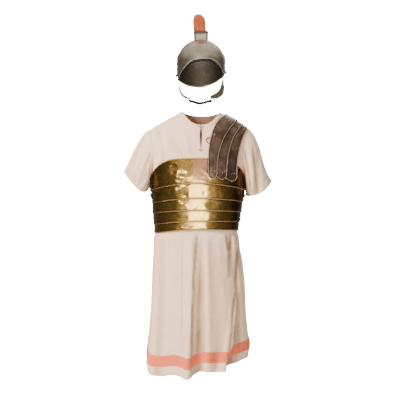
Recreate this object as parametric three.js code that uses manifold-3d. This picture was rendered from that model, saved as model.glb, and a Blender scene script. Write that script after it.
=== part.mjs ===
// A Roman centurion's stage costume, as a three.js scene in millimetres, +Z up.
// The costume keeps the hollow form it has when it is worn. The front faces -Y and +X is the wearer's
// left. The origin is at the base of the neck opening, on the line of the shoulder seams.
// A knee-length cloth tunic hangs inside a cuirass of overlapping brass plates. Three bronze lames cross
// the left shoulder, and an iron helmet with a bristle crest stands above the neck opening.
import * as THREE from 'three';
import Module from 'manifold-3d';

const wasm = await Module();
wasm.setup();

// Driving dimensions
const CLOTH = 2;              // thickness of the tunic's wall
const SEAM = 0.3;             // gap between pieces that are sewn together
const TRIM = 1.2;             // thickness of ribbon and binding
const PLATE = 1.5;            // thickness of the brass and bronze plates
const LEATHER = 2.2;          // thickness of straps
const UNDERARM = -280;        // height of the underarm point
const SHOULDER_TIP = 208;     // half the width between the shoulder tips
const NECK_CENTRE = 8;        // the neck opening's middle
const NECK_HALF = 80;         // half the width of the neck opening
const NECK_DROP_FRONT = 63;   // how far the neckline falls at the front
const NECK_DROP_BACK = 14;    // how far it falls at the back
const ARMHOLE_PULL = 20;      // how far the armhole's curve goes in from the straight line
const SQUARENESS = 2.3;       // exponent of the garment's rounded cross-section
const SHOULDER_POWER = 2.6;   // exponent of the rounding over the shoulder
const HEM_MARGIN = 34;        // cloth below the hem ribbon
const HEM_RIBBON = 44;        // width of the hem ribbon

// How finely the walls are divided
const FRONT_COLUMNS = 40;
const BACK_COLUMNS = 32;
const SHOULDER_COLUMNS = { front: 11, back: 9 };
const UPPER_ROWS = 8;
const SLEEVE_RINGS = 6;

// Cross-sections of the hanging cloth: one row for each height, with half the width, the depths to the
// front and to the back, and the sideways lean of the middle.
const SECTIONS = [
  { z: 60, half: 244, front: 112, back: 108, lean: 0 },
  { z: -72, half: 238, front: 122, back: 116, lean: 0 },
  { z: -180, half: 222, front: 134, back: 124, lean: -2 },
  { z: -250, half: 204, front: 141, back: 127, lean: -4 },
  { z: -280, half: 197, front: 143, back: 127, lean: -5 },
  { z: -302, half: 197, front: 143, back: 126, lean: -5 },
  { z: -370, half: 188, front: 139, back: 120, lean: -6 },
  { z: -433, half: 181, front: 133, back: 114, lean: -9 },
  { z: -500, half: 173, front: 128, back: 112, lean: -11 },
  { z: -530, half: 180, front: 135, back: 119, lean: -11 },
  { z: -580, half: 183, front: 140, back: 127, lean: -9 },
  { z: -690, half: 192, front: 151, back: 145, lean: -5 },
  { z: -790, half: 197, front: 163, back: 158, lean: -4 },
  { z: -916, half: 207, front: 180, back: 171, lean: -3 },
  { z: -960, half: 213, front: 187, back: 176, lean: -3 },
  { z: -1020, half: 213, front: 194, back: 182, lean: -8 },
  { z: -1090, half: 214, front: 200, back: 188, lean: -9 },
];

// Height of the hem round the skirt. The angle starts at the right side seam, seen from the wearer,
// passes the front at 90 and the wearer's left side at 180.
const HEM = [
  { phi: 0, z: -1046 }, { phi: 13, z: -1053 }, { phi: 26, z: -1063 }, { phi: 34, z: -1083 },
  { phi: 50, z: -1080 }, { phi: 68, z: -1069 }, { phi: 77, z: -1076 }, { phi: 83, z: -1082 },
  { phi: 88, z: -1068 }, { phi: 93, z: -1054 }, { phi: 105, z: -1056 }, { phi: 118, z: -1056 },
  { phi: 124, z: -1045 }, { phi: 143, z: -1023 }, { phi: 165, z: -1010 }, { phi: 180, z: -1008 },
  { phi: 225, z: -1030 }, { phi: 270, z: -1048 }, { phi: 315, z: -1052 }, { phi: 360, z: -1050 },
];

// Folds of the skirt: each runs from a top height to a foot height, with its angle, its depth outwards and
// its half width in degrees at both ends.
const FOLDS = [
  { top: -505, foot: -1080, phiTop: 24, phiFoot: 29, out: 4, outFoot: 12, wide: 11, wideFoot: 12 },
  { top: -505, foot: -1080, phiTop: 40, phiFoot: 42, out: -2, outFoot: -7, wide: 13, wideFoot: 14 },
  { top: -505, foot: -1085, phiTop: 85, phiFoot: 82.5, out: 6, outFoot: 28, wide: 9, wideFoot: 9 },
  { top: -505, foot: -1075, phiTop: 93.5, phiFoot: 90.5, out: -5, outFoot: -22, wide: 8, wideFoot: 8 },
  { top: -505, foot: -1062, phiTop: 101, phiFoot: 99.5, out: 3, outFoot: 9, wide: 9, wideFoot: 10 },
  { top: -505, foot: -1060, phiTop: 110, phiFoot: 109, out: -2, outFoot: -6, wide: 9, wideFoot: 10 },
  { top: -505, foot: -700, phiTop: 131, phiFoot: 130, out: 4, outFoot: 0, wide: 8, wideFoot: 8 },
  { top: -505, foot: -710, phiTop: 139, phiFoot: 138, out: -10, outFoot: 0, wide: 8, wideFoot: 8 },
  { top: -505, foot: -760, phiTop: 148, phiFoot: 152, out: 4, outFoot: 4, wide: 8, wideFoot: 9 },
  { top: -735, foot: -1060, phiTop: 141, phiFoot: 116.5, out: 5, outFoot: 18, wide: 10, wideFoot: 11 },
  { top: -735, foot: -1050, phiTop: 151, phiFoot: 128.5, out: -6, outFoot: -22, wide: 9, wideFoot: 12 },
  { top: -560, foot: -1030, phiTop: 171, phiFoot: 158, out: 3, outFoot: 9, wide: 9, wideFoot: 12 },
  { top: -520, foot: -1035, phiTop: 202, phiFoot: 200, out: -3, outFoot: -9, wide: 12, wideFoot: 13 },
  { top: -520, foot: -1040, phiTop: 222, phiFoot: 220, out: 4, outFoot: 14, wide: 13, wideFoot: 14 },
  { top: -520, foot: -1045, phiTop: 243, phiFoot: 242, out: -3, outFoot: -10, wide: 12, wideFoot: 13 },
  { top: -520, foot: -1050, phiTop: 262, phiFoot: 263, out: 5, outFoot: 16, wide: 13, wideFoot: 14 },
  { top: -520, foot: -1052, phiTop: 283, phiFoot: 285, out: -4, outFoot: -12, wide: 12, wideFoot: 13 },
  { top: -520, foot: -1054, phiTop: 304, phiFoot: 307, out: 4, outFoot: 14, wide: 13, wideFoot: 14 },
  { top: -520, foot: -1054, phiTop: 326, phiFoot: 330, out: -3, outFoot: -9, wide: 12, wideFoot: 13 },
];

const radians = (degrees) => (degrees * Math.PI) / 180;
const mix = (a, b, t) => a + (b - a) * t;
const clamp = (v, low, high) => Math.min(high, Math.max(low, v));
const point = (x, y, z) => new THREE.Vector3(x, y, z);

// Reads a column of a table between its rows, as a smooth curve that never overshoots a row.
function readTable(table, key, column, at) {
  const last = table.length - 1;
  const rising = table[last][key] > table[0][key];
  const rows = rising ? table : [...table].reverse();
  const x = clamp(at, rows[0][key], rows[last][key]);
  let i = 0;
  while (i < last - 1 && x > rows[i + 1][key]) i += 1;
  const step = (k) => rows[k + 1][key] - rows[k][key];
  const slope = (k) => (rows[k + 1][column] - rows[k][column]) / step(k);
  const tangent = (k) => {
    if (k === 0) return slope(0);
    if (k === last) return slope(last - 1);
    const before = slope(k - 1);
    const after = slope(k);
    return before * after <= 0 ? 0 : (2 * before * after) / (before + after);
  };
  const t = (x - rows[i][key]) / step(i);
  const t2 = t * t;
  const t3 = t2 * t;
  return rows[i][column] * (2 * t3 - 3 * t2 + 1) + rows[i + 1][column] * (3 * t2 - 2 * t3)
    + step(i) * (tangent(i) * (t3 - 2 * t2 + t) + tangent(i + 1) * (t3 - t2));
}

// Height of the shoulder line above a place across the garment.
const shoulderHeight = (x) => 61 - 0.62 * Math.hypot(x - 4, 60);

// How much of the form's depth is left at a height, as the surface rounds over the shoulder.
function shoulderRounding(x, z) {
  if (z <= UNDERARM) return 1;
  const share = clamp((z - UNDERARM) / (shoulderHeight(x) - UNDERARM), 0, 1);
  return Math.sqrt(1 - share ** SHOULDER_POWER);
}

// How far the folds bring the skirt out of its smooth form at an angle and a height.
const FOLD_RUN_IN = 40;       // height over which a fold grows out of the smooth form
function foldDepth(phi, z) {
  let sum = 0;
  for (const fold of FOLDS) {
    const along = clamp((fold.top - z) / (fold.top - fold.foot), 0, 1);
    const centre = mix(fold.phiTop, fold.phiFoot, along);
    const away = Math.abs(phi - centre) / mix(fold.wide, fold.wideFoot, along);
    if (z > fold.top || away >= 1) continue;
    const start = clamp((fold.top - z) / FOLD_RUN_IN, 0, 1);
    sum += mix(fold.out, fold.outFoot, along) * start * 0.5 * (1 + Math.cos(Math.PI * away));
  }
  return sum;
}

// A point of the garment's smooth form. The angle runs round it as in HEM.
function formPoint(phi, z) {
  const a = radians(phi);
  const across = Math.sign(Math.cos(a)) * Math.abs(Math.cos(a)) ** (2 / SQUARENESS);
  const along = Math.sign(Math.sin(a)) * Math.abs(Math.sin(a)) ** (2 / SQUARENESS);
  const x = readTable(SECTIONS, 'z', 'lean', z) - readTable(SECTIONS, 'z', 'half', z) * across;
  const depth = readTable(SECTIONS, 'z', along > 0 ? 'front' : 'back', z);
  return point(x, -depth * along * shoulderRounding(x, z), z);
}

// The unit normal of a surface given as a function of two numbers, turned away from a middle point.
function normalOf(surface, u, v, stepU, stepV, middle) {
  const alongU = surface(u + stepU, v).sub(surface(u - stepU, v));
  const alongV = surface(u, v + stepV).sub(surface(u, v - stepV));
  const normal = alongU.cross(alongV).normalize();
  return normal.dot(surface(u, v).sub(middle)) < 0 ? normal.negate() : normal;
}

const formMiddle = (z) => point(0, 0, Math.min(z, -120));
const formNormal = (phi, z) => normalOf(formPoint, phi, z, 0.6, 0.6, formMiddle(z));
const overForm = (phi, z, out) => formPoint(phi, z).addScaledVector(formNormal(phi, z), out);

// A point of the skirt, which is the smooth form with its folds.
const skirtPoint = (phi, z) => overForm(phi, z, foldDepth((phi + 360) % 360, z));
const skirtNormal = (phi, z) => normalOf(skirtPoint, phi, z, 0.6, 2, formMiddle(z));

// The shoulder and chest as a surface over the place across and the turn over the shoulder, which is 0 at
// the underarm's height in front, 90 on the shoulder line and 180 at the underarm's height behind.
const TURN_DROP = 4;          // fall in height for each degree beyond the underarm
function shoulderPoint(x, turn) {
  const a = radians(clamp(turn, 0, 180));
  const drop = (Math.min(turn, 0) + Math.min(180 - turn, 0)) * TURN_DROP;
  const top = shoulderHeight(x);
  const z = UNDERARM + (top - UNDERARM) * Math.sin(a) ** (2 / SHOULDER_POWER) + drop;
  const across = Math.abs(x - readTable(SECTIONS, 'z', 'lean', z)) / readTable(SECTIONS, 'z', 'half', z);
  const edge = Math.max(0, 1 - across ** SQUARENESS) ** (1 / SQUARENESS);
  const depth = readTable(SECTIONS, 'z', turn < 90 ? 'front' : 'back', z);
  return point(x, -depth * edge * Math.cos(a), z);
}
const shoulderNormal = (x, turn) => normalOf(shoulderPoint, x, turn, 0.6, 0.6, point(x * 0.6, 0, -200));
const overShoulder = (x, turn, out) => shoulderPoint(x, turn).addScaledVector(shoulderNormal(x, turn), out);

// The turn over the shoulder of the point at a height, on one face.
function turnAt(x, z, face) {
  const share = clamp((z - UNDERARM) / (shoulderHeight(x) - UNDERARM), 0, 1);
  const turn = (Math.asin(share ** (SHOULDER_POWER / 2)) * 180) / Math.PI;
  return face === 'front' ? turn : 180 - turn;
}

// A closed wall between two grids of points of the same size. Coinciding points are joined, and the wall
// may run right round its columns.
function wallBetween(outer, inner, around = false) {
  const positions = [];
  const index = [];
  const known = new Map();
  const id = (p) => {
    const key = [p.x, p.y, p.z].map((v) => Math.round(v * 1e4)).join();
    if (!known.has(key)) {
      known.set(key, positions.length / 3);
      positions.push(p.x, p.y, p.z);
    }
    return known.get(key);
  };
  const triangle = (a, b, c) => {
    const ids = [id(a), id(b), id(c)];
    if (new Set(ids).size === 3) index.push(...ids);
  };
  const quad = (a, b, c, d) => {
    triangle(a, b, c);
    triangle(a, c, d);
  };
  const rows = outer.length;
  const columns = outer[0].length;
  const cells = around ? columns : columns - 1;
  for (let j = 0; j < cells; j += 1) {
    const k = (j + 1) % columns;
    for (let i = 0; i + 1 < rows; i += 1) {
      quad(outer[i][j], outer[i][k], outer[i + 1][k], outer[i + 1][j]);
      quad(inner[i][j], inner[i + 1][j], inner[i + 1][k], inner[i][k]);
    }
    quad(inner[0][j], inner[0][k], outer[0][k], outer[0][j]);
    quad(outer[rows - 1][j], outer[rows - 1][k], inner[rows - 1][k], inner[rows - 1][j]);
  }
  if (!around) {
    const end = columns - 1;
    for (let i = 0; i + 1 < rows; i += 1) {
      quad(outer[i][0], outer[i + 1][0], inner[i + 1][0], inner[i][0]);
      quad(inner[i][end], inner[i + 1][end], outer[i + 1][end], outer[i][end]);
    }
  }
  return facingOut(positions, index);
}

// Turns every face round if the shape is inside out.
function facingOut(positions, index) {
  let volume = 0;
  const corner = (i) => point(positions[3 * i], positions[3 * i + 1], positions[3 * i + 2]);
  for (let i = 0; i < index.length; i += 3) {
    volume += corner(index[i]).dot(corner(index[i + 1]).cross(corner(index[i + 2])));
  }
  const turned = volume < 0 ? index.toReversed() : index;
  const geometry = new THREE.BufferGeometry();
  geometry.setAttribute('position', new THREE.Float32BufferAttribute(positions, 3));
  geometry.setIndex(turned);
  return geometry;
}

// Solids for cutting and joining
function solidOf(geometry) {
  const source = geometry.index ? geometry.toNonIndexed() : geometry;
  const at = source.getAttribute('position');
  const known = new Map();
  const vertices = [];
  const triangles = [];
  for (let i = 0; i < at.count; i += 1) {
    const key = [at.getX(i), at.getY(i), at.getZ(i)].map((v) => Math.round(v * 1e3)).join();
    if (!known.has(key)) {
      known.set(key, vertices.length / 3);
      vertices.push(at.getX(i), at.getY(i), at.getZ(i));
    }
    triangles.push(known.get(key));
  }
  return new wasm.Manifold(new wasm.Mesh({
    numProp: 3,
    vertProperties: new Float32Array(vertices),
    triVerts: new Uint32Array(triangles),
  }));
}

function geometryOf(solid) {
  const mesh = solid.getMesh();
  const geometry = new THREE.BufferGeometry();
  geometry.setAttribute('position', new THREE.Float32BufferAttribute(mesh.vertProperties, 3));
  geometry.setIndex(new THREE.BufferAttribute(mesh.triVerts, 1));
  return geometry;
}

// Materials
const finish = (color, roughness, metalness) => (
  new THREE.MeshStandardMaterial({ color, roughness, metalness }));
const tunicCloth = finish(0xdccbbb, 0.9, 0);
const ribbonCloth = finish(0xe08468, 0.85, 0);
const brass = finish(0xb08d3f, 0.25, 1);
const bronze = finish(0x6d5547, 0.45, 0.8);
const iron = finish(0xa79c89, 0.4, 0.9);
const blackLeather = finish(0x1d1a18, 0.7, 0);
const brownLeather = finish(0x4a3425, 0.7, 0);
const bristle = finish(0xd9603d, 0.8, 0);
const thread = finish(0xcdb9a6, 0.9, 0);

const costume = new THREE.Group();
const addPiece = (name, geometry, material, parent = costume) => {
  const mesh = new THREE.Mesh(geometry, material);
  mesh.name = name;
  parent.add(mesh);
  return mesh;
};

// The tunic's front and back panels

// Where the top edge of a panel lies: the shoulder seams, and the neckline between them. Share goes from
// -1 to 1 across the neck opening, and grow widens the curve for the binding's outer edge.
function neckline(share, face, grow = 0) {
  const half = NECK_HALF + grow;
  const x = NECK_CENTRE + half * share;
  const ends = [shoulderHeight(NECK_CENTRE - half), shoulderHeight(NECK_CENTRE + half)];
  const level = mix(ends[0], ends[1], (share + 1) / 2);
  const drop = face === 'front' ? NECK_DROP_FRONT : NECK_DROP_BACK;
  const power = face === 'front' ? 2.35 : 2;
  return { x, z: level - (drop + grow * (1 - Math.abs(share))) * (1 - Math.abs(share) ** power) };
}

function topEdge(column, columns, face) {
  const shoulder = SHOULDER_COLUMNS[face];
  const fromEnd = Math.min(column, columns - column);
  if (fromEnd > shoulder) return neckline(mix(-1, 1, (column - shoulder) / (columns - 2 * shoulder)), face);
  const side = column < columns / 2 ? -1 : 1;
  const x = mix(side * SHOULDER_TIP, NECK_CENTRE + side * NECK_HALF, fromEnd / shoulder);
  return { x, z: shoulderHeight(x) };
}

// Shares of the height between the underarm and the top edge, closer together at both ends.
const upperShare = (row) => (1 - Math.cos((Math.PI * row) / UPPER_ROWS)) / 2;

// A point of a panel above the underarm.
function upperPlace(column, columns, row, face) {
  const u = column / columns;
  const phi = face === 'front' ? 180 * u : 360 - 180 * u;
  const foot = formPoint(phi, UNDERARM);
  const top = topEdge(column, columns, face);
  const v = upperShare(row);
  const pull = ARMHOLE_PULL * Math.sin(Math.PI * v) * (1 - 2 * u) ** 3;
  const x = mix(foot.x, top.x, v) + pull;
  return { x, turn: turnAt(x, mix(UNDERARM, top.z, v), face) };
}

// Heights of the skirt's rows above the hem, and the level rows above them.
const SKIRT_ROWS = [0, HEM_MARGIN, HEM_MARGIN + HEM_RIBBON, 140, 215, 295, 375, 455];
const LEVEL_ROWS = [-530, -500, -435, -370, UNDERARM];
const NOMINAL_HEM = -1050;
const hemHeight = (phi) => readTable(HEM, 'phi', 'z', phi);
const skirtHeight = (phi, rise) => mix(hemHeight(phi), LEVEL_ROWS[0], rise / (LEVEL_ROWS[0] - NOMINAL_HEM));

function panelGrids(face, columns) {
  const shift = point(0, face === 'front' ? -SEAM / 2 : SEAM / 2, 0);
  const outer = [];
  const inner = [];
  const addRow = (surface, normal) => {
    const place = Array.from({ length: columns + 1 }, (_, j) => surface(j).add(shift));
    outer.push(place);
    inner.push(place.map((p, j) => p.clone().addScaledVector(normal(j), -CLOTH)));
  };
  const phiOf = (j) => (face === 'front' ? (180 * j) / columns : 360 - (180 * j) / columns);
  for (const rise of SKIRT_ROWS) {
    const height = (j) => skirtHeight(phiOf(j), rise);
    addRow((j) => skirtPoint(phiOf(j), height(j)), (j) => skirtNormal(phiOf(j), height(j)));
  }
  for (const z of LEVEL_ROWS) addRow((j) => skirtPoint(phiOf(j), z), (j) => skirtNormal(phiOf(j), z));
  for (let row = 1; row <= UPPER_ROWS; row += 1) {
    const place = (j) => upperPlace(j, columns, row, face);
    addRow(
      (j) => shoulderPoint(place(j).x, place(j).turn),
      (j) => shoulderNormal(place(j).x, place(j).turn),
    );
  }
  return { outer, inner };
}

// The front slit below the neckline, as a cutter: half its width at each height.
const SLIT = [
  { z: -40, half: 1 }, { z: -70, half: 1 }, { z: -84, half: 2.6 }, { z: -103, half: 4.8 },
  { z: -125, half: 3 }, { z: -150, half: 1.6 }, { z: -166, half: 0.6 },
];
function slitCutter() {
  const side = (sign) => SLIT.map((row) => new THREE.Vector2(NECK_CENTRE + sign * row.half, row.z));
  const shape = new THREE.Shape([...side(1), ...side(-1).reverse()]);
  const cutter = new THREE.ExtrudeGeometry(shape, { depth: 150, bevelEnabled: false });
  return cutter.rotateX(Math.PI / 2).translate(0, -20, 0);
}

const frontGrids = panelGrids('front', FRONT_COLUMNS);
const backGrids = panelGrids('back', BACK_COLUMNS);
const frontWall = solidOf(wallBetween(frontGrids.outer, frontGrids.inner));
addPiece('tunic_front', geometryOf(frontWall.subtract(solidOf(slitCutter()))), tunicCloth);
addPiece('tunic_back', wallBetween(backGrids.outer, backGrids.inner), tunicCloth);

// The ribbon above the hem lies on each panel, made from the panel's own points.
function hemRibbon(face, columns) {
  const shift = point(0, face === 'front' ? -SEAM / 2 : SEAM / 2, 0);
  const phiOf = (j) => (face === 'front' ? (180 * j) / columns : 360 - (180 * j) / columns);
  const row = (rise, out) => Array.from({ length: columns + 1 }, (_, j) => {
    const z = skirtHeight(phiOf(j), rise);
    return skirtPoint(phiOf(j), z).addScaledVector(skirtNormal(phiOf(j), z), out).add(shift);
  });
  const rises = [HEM_MARGIN, HEM_MARGIN + HEM_RIBBON];
  return wallBetween(rises.map((rise) => row(rise, SEAM + TRIM)), rises.map((rise) => row(rise, SEAM)));
}
addPiece('hem_ribbon_front', hemRibbon('front', FRONT_COLUMNS), ribbonCloth);
addPiece('hem_ribbon_back', hemRibbon('back', BACK_COLUMNS), ribbonCloth);

// The neck binding is one strip, open at the slit.
const BINDING_WIDTH = 10;
const BINDING_LIFT = 0.65;
function neckBinding() {
  const closerOutwards = (count, first) => Array.from({ length: count + 1 }, (_, i) => (
    mix(first, 1, 1 - (1 - i / count) ** 2)));
  const frontShares = closerOutwards(11, 0.02);
  const halfBack = closerOutwards(9, 0);
  const backShares = [...halfBack.slice(1, -1).reverse(), ...halfBack.slice(0, -1).map((share) => -share)];
  const places = [
    ...frontShares.map((share) => ({ share, face: 'front' })),
    ...backShares.map((share) => ({ share, face: 'back' })),
    ...[...frontShares].reverse().map((share) => ({ share: -share, face: 'front' })),
  ];
  const row = (grow, out) => places.map(({ share, face }) => {
    const { x, z } = neckline(share, face, grow);
    return overShoulder(x, turnAt(x, z, face), out);
  });
  const grid = (out) => [0, BINDING_WIDTH].map((grow) => row(grow, out));
  return wallBetween(grid(BINDING_LIFT + TRIM), grid(BINDING_LIFT));
}
addPiece('neck_binding', neckBinding(), tunicCloth);

// Sleeves, each a tube from the armhole to the cuff. Kappa is the angle round the tube: 0 on top, 90 in
// front, 180 under the arm. Reach is the half axis of the cuff in the front view, sag lowers the cuff's
// front and back, and droop lowers them further towards the underarm.
const SLEEVES = [
  {
    name: 'sleeve_right', side: -1, middle: point(-265, 0, -286), reach: point(-51, 0, 36), deep: 84,
    sag: point(-5, 0, -16), droop: point(0, 0, -38), lift: [point(-1, 0, 47), point(5, 0, 21)], under: point(-4, 0, 2),
    folds: [
      { kappa: 62, kappaEnd: 92, from: 0.1, out: -7, wide: 30 },
      { kappa: 120, kappaEnd: 128, from: 0.2, out: 6, wide: 28 },
      { kappa: 265, kappaEnd: 262, from: 0.2, out: -7, wide: 30 },
    ],
  },
  {
    name: 'sleeve_left', side: 1, middle: point(255, 0, -318), reach: point(52, 0, 29), deep: 84,
    sag: point(0, 0, -26), droop: point(-18, 0, -10), lift: [point(21, 0, 34), point(-19, 0, 0)], under: point(11, 0, 5),
    folds: [
      { kappa: 30, kappaEnd: 104, from: 0.35, out: -10, wide: 28 },
      { kappa: 78, kappaEnd: 146, from: 0, out: -7, wide: 26 },
      { kappa: 262, kappaEnd: 250, from: 0.2, out: -8, wide: 30 },
    ],
  },
];
const SLEEVE_COLUMNS = 2 * UPPER_ROWS;

function armholePoint(side, kappa) {
  const face = kappa <= 180 ? 'front' : 'back';
  const v = (1 + Math.cos(radians(kappa))) / 2;
  const foot = formPoint(side < 0 ? 0 : 180, UNDERARM);
  const x = mix(foot.x, side * SHOULDER_TIP, v) - side * ARMHOLE_PULL * Math.sin(Math.PI * v);
  const top = shoulderHeight(side * SHOULDER_TIP);
  const place = shoulderPoint(x, turnAt(x, mix(UNDERARM, top, v), face));
  const onSeam = Math.abs(Math.sin(radians(kappa))) < 0.01;
  const shift = onSeam ? 0 : (face === 'front' ? -SEAM / 2 : SEAM / 2);
  return place.add(point(side * (SEAM + 0.05), shift, 0));
}

function sleevePoint(sleeve, kappa, along) {
  const a = radians(kappa);
  const start = armholePoint(sleeve.side, (kappa + 360) % 360);
  const end = sleeve.middle.clone().addScaledVector(sleeve.reach, Math.cos(a))
    .add(point(0, -sleeve.deep * Math.sin(a), 0)).addScaledVector(sleeve.sag, Math.sin(a) ** 2)
    .addScaledVector(sleeve.droop, (Math.sin(a) * (1 - Math.cos(a)) / 2) ** 2);
  const over = ((1 + Math.cos(a)) / 2) ** 1.3;
  const bulge = point(0, -10 * Math.sin(a), 0);
  const below = ((1 - Math.cos(a)) / 2) ** 1.3;
  const guide = (t, lift) => start.clone().lerp(end, t).addScaledVector(lift, over)
    .addScaledVector(sleeve.under, below).add(bulge);
  const controls = [start, guide(1 / 3, sleeve.lift[0]), guide(2 / 3, sleeve.lift[1]), end];
  return new THREE.CubicBezierCurve3(...controls).getPoint(along);
}

function sleeveFold(sleeve, kappa, along) {
  let sum = 0;
  for (const fold of sleeve.folds) {
    if (along <= fold.from) continue;
    const share = (along - fold.from) / (1 - fold.from);
    const away = Math.abs(kappa - mix(fold.kappa, fold.kappaEnd, share)) / fold.wide;
    const height = fold.out * Math.sin((Math.PI / 2) * share);
    if (away < 1) sum += height * 0.5 * (1 + Math.cos(Math.PI * away));
  }
  return sum;
}

function sleeveWall(sleeve) {
  const surface = (kappa, along) => sleevePoint(sleeve, kappa, along);
  const outer = [];
  const inner = [];
  for (let ring = 0; ring <= SLEEVE_RINGS; ring += 1) {
    const along = ring / SLEEVE_RINGS;
    const start = armholePoint(sleeve.side, 0).lerp(armholePoint(sleeve.side, 180), 0.5);
    const middle = start.lerp(sleeve.middle, along);
    const outerRing = [];
    const innerRing = [];
    for (let k = 0; k < SLEEVE_COLUMNS; k += 1) {
      const kappa = (360 * k) / SLEEVE_COLUMNS;
      const normal = normalOf(surface, kappa, clamp(along, 0.02, 0.98), 2, 0.02, middle);
      if (ring === 0) normal.setX(0).normalize();
      const place = surface(kappa, along).addScaledVector(normal, sleeveFold(sleeve, kappa, along));
      outerRing.push(place);
      innerRing.push(place.clone().addScaledVector(normal, -CLOTH));
    }
    outer.push(outerRing);
    inner.push(innerRing);
  }
  return wallBetween(outer, inner, true);
}
for (const sleeve of SLEEVES) addPiece(sleeve.name, sleeveWall(sleeve), tunicCloth);

// The cuirass. Each plate's lower edge is given at the middle and at both sides, and its upper edge goes
// under the plate above it. The chest plates have a rounded upper edge of their own.
const OVERLAP = 10;
const PLATE_LIFT = { front: 1.4, back: 1.8 };
const PLATE_FLARE = 2.9;      // how much further out a plate stands at its lower edge
const BEAD = 2;               // how far the rolled edge stands out
const BEAD_HEIGHT = 5;
const SIDE_GAP = 2;           // degrees between a plate's end and the side
const PLATE_COLUMNS = { front: 20, back: 16 };
const PLATES = [
  { name: 'chest', middle: -304, rightSide: -332, leftSide: -330 },
  { name: 'band_1', middle: -365, rightSide: -385, leftSide: -378 },
  { name: 'band_2', middle: -414, rightSide: -426, leftSide: -420 },
  { name: 'band_3', middle: -458, rightSide: -473, leftSide: -460 },
  { name: 'band_4', middle: -491, rightSide: -509, leftSide: -496 },
];
// Upper edge of the chest plates, against the angle from the side
const CHEST_TOP = [
  { phi: 0, z: -302 }, { phi: 19, z: -271 }, { phi: 37, z: -239 }, { phi: 52, z: -216 },
  { phi: 66, z: -204 }, { phi: 90, z: -200 },
];

const BACK_LOWER = 14;        // how much lower the back plate's upper edge is in the middle

const fromSide = (phi) => Math.min(phi % 180, 180 - (phi % 180));
function plateFoot(plate, phi) {
  const side = Math.cos(radians(phi)) > 0 ? plate.rightSide : plate.leftSide;
  return mix(plate.middle, side, Math.abs(Math.cos(radians(phi))) ** 1.5);
}
function plateTop(index, phi) {
  if (index > 0) return plateFoot(PLATES[index - 1], phi) + OVERLAP;
  const lower = phi > 180 ? BACK_LOWER * Math.sin(radians(fromSide(phi))) : 0;
  return readTable(CHEST_TOP, 'phi', 'z', fromSide(phi)) - lower;
}

function plateWall(index, face) {
  const columns = PLATE_COLUMNS[face];
  const [start, end] = face === 'front' ? [SIDE_GAP, 180 - SIDE_GAP] : [180 + SIDE_GAP, 360 - SIDE_GAP];
  const phis = Array.from({ length: columns + 1 }, (_, j) => mix(start, end, j / columns));
  const shares = index === 0 ? [0.35, 0.7] : [];
  const lift = PLATE_LIFT[face];
  const liftAt = (share) => (index === 0 ? lift + PLATE_FLARE : mix(lift + PLATE_FLARE, lift, share));
  const rows = [
    { z: (phi) => plateFoot(PLATES[index], phi), share: 0, bead: BEAD },
    { z: (phi) => plateFoot(PLATES[index], phi) + BEAD_HEIGHT, share: 0.1, bead: 0 },
    ...shares.map((share) => ({
      z: (phi) => mix(plateFoot(PLATES[index], phi), plateTop(index, phi), share), share, bead: 0,
    })),
    { z: (phi) => plateTop(index, phi), share: 1, bead: index === 0 ? BEAD : 0 },
  ];
  const grid = (out) => rows.map((row) => phis.map((phi) => overForm(phi, row.z(phi), out(row))));
  return wallBetween(grid((row) => liftAt(row.share) + PLATE + row.bead), grid((row) => liftAt(row.share)));
}
PLATES.forEach((plate, index) => {
  addPiece(`plate_${plate.name}_front`, plateWall(index, 'front'), brass);
  addPiece(`plate_${plate.name}_back`, plateWall(index, 'back'), brass);
});

// A leather strap with a buckle joins the front and back plates at each side.
const SIDE_STRAP = { z: -352, half: 9, reach: 15, steps: 8, lift: 5.9 };
const BUCKLE = { half: 12, bar: 3, deep: 2.5, turn: 5, clear: 0.9 };
function sideStrap(middle) {
  const phis = Array.from({ length: SIDE_STRAP.steps + 1 }, (_, j) => (
    middle + mix(-SIDE_STRAP.reach, SIDE_STRAP.reach, j / SIDE_STRAP.steps)));
  const heights = [SIDE_STRAP.z - SIDE_STRAP.half, SIDE_STRAP.z + SIDE_STRAP.half];
  const grid = (out) => heights.map((z) => phis.map((phi) => overForm(phi, z, out)));
  return wallBetween(grid(SIDE_STRAP.lift + LEATHER), grid(SIDE_STRAP.lift));
}
function buckleFrame(phi) {
  const rim = new THREE.Shape();
  const half = BUCKLE.half;
  rim.moveTo(-half, -half).lineTo(half, -half).lineTo(half, half).lineTo(-half, half).closePath();
  const hole = new THREE.Path();
  const gap = half - BUCKLE.bar;
  hole.moveTo(-gap, -gap).lineTo(-gap, gap).lineTo(gap, gap).lineTo(gap, -gap).closePath();
  rim.holes.push(hole);
  const frame = new THREE.ExtrudeGeometry(rim, { depth: BUCKLE.deep, bevelEnabled: false });
  const outwards = formNormal(phi, SIDE_STRAP.z);
  const seat = overForm(phi, SIDE_STRAP.z, SIDE_STRAP.lift + LEATHER + BUCKLE.clear);
  const turn = new THREE.Quaternion().setFromUnitVectors(point(0, 0, 1), outwards);
  return frame.applyQuaternion(turn).translate(seat.x, seat.y, seat.z);
}
for (const [name, middle] of [['right', 0], ['left', 180]]) {
  const towardsFront = name === 'right' ? 1 : -1;
  addPiece(`side_strap_${name}`, sideStrap(middle), brownLeather);
  addPiece(`side_buckle_${name}`, buckleFrame(middle + towardsFront * BUCKLE.turn), brass);
}

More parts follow.
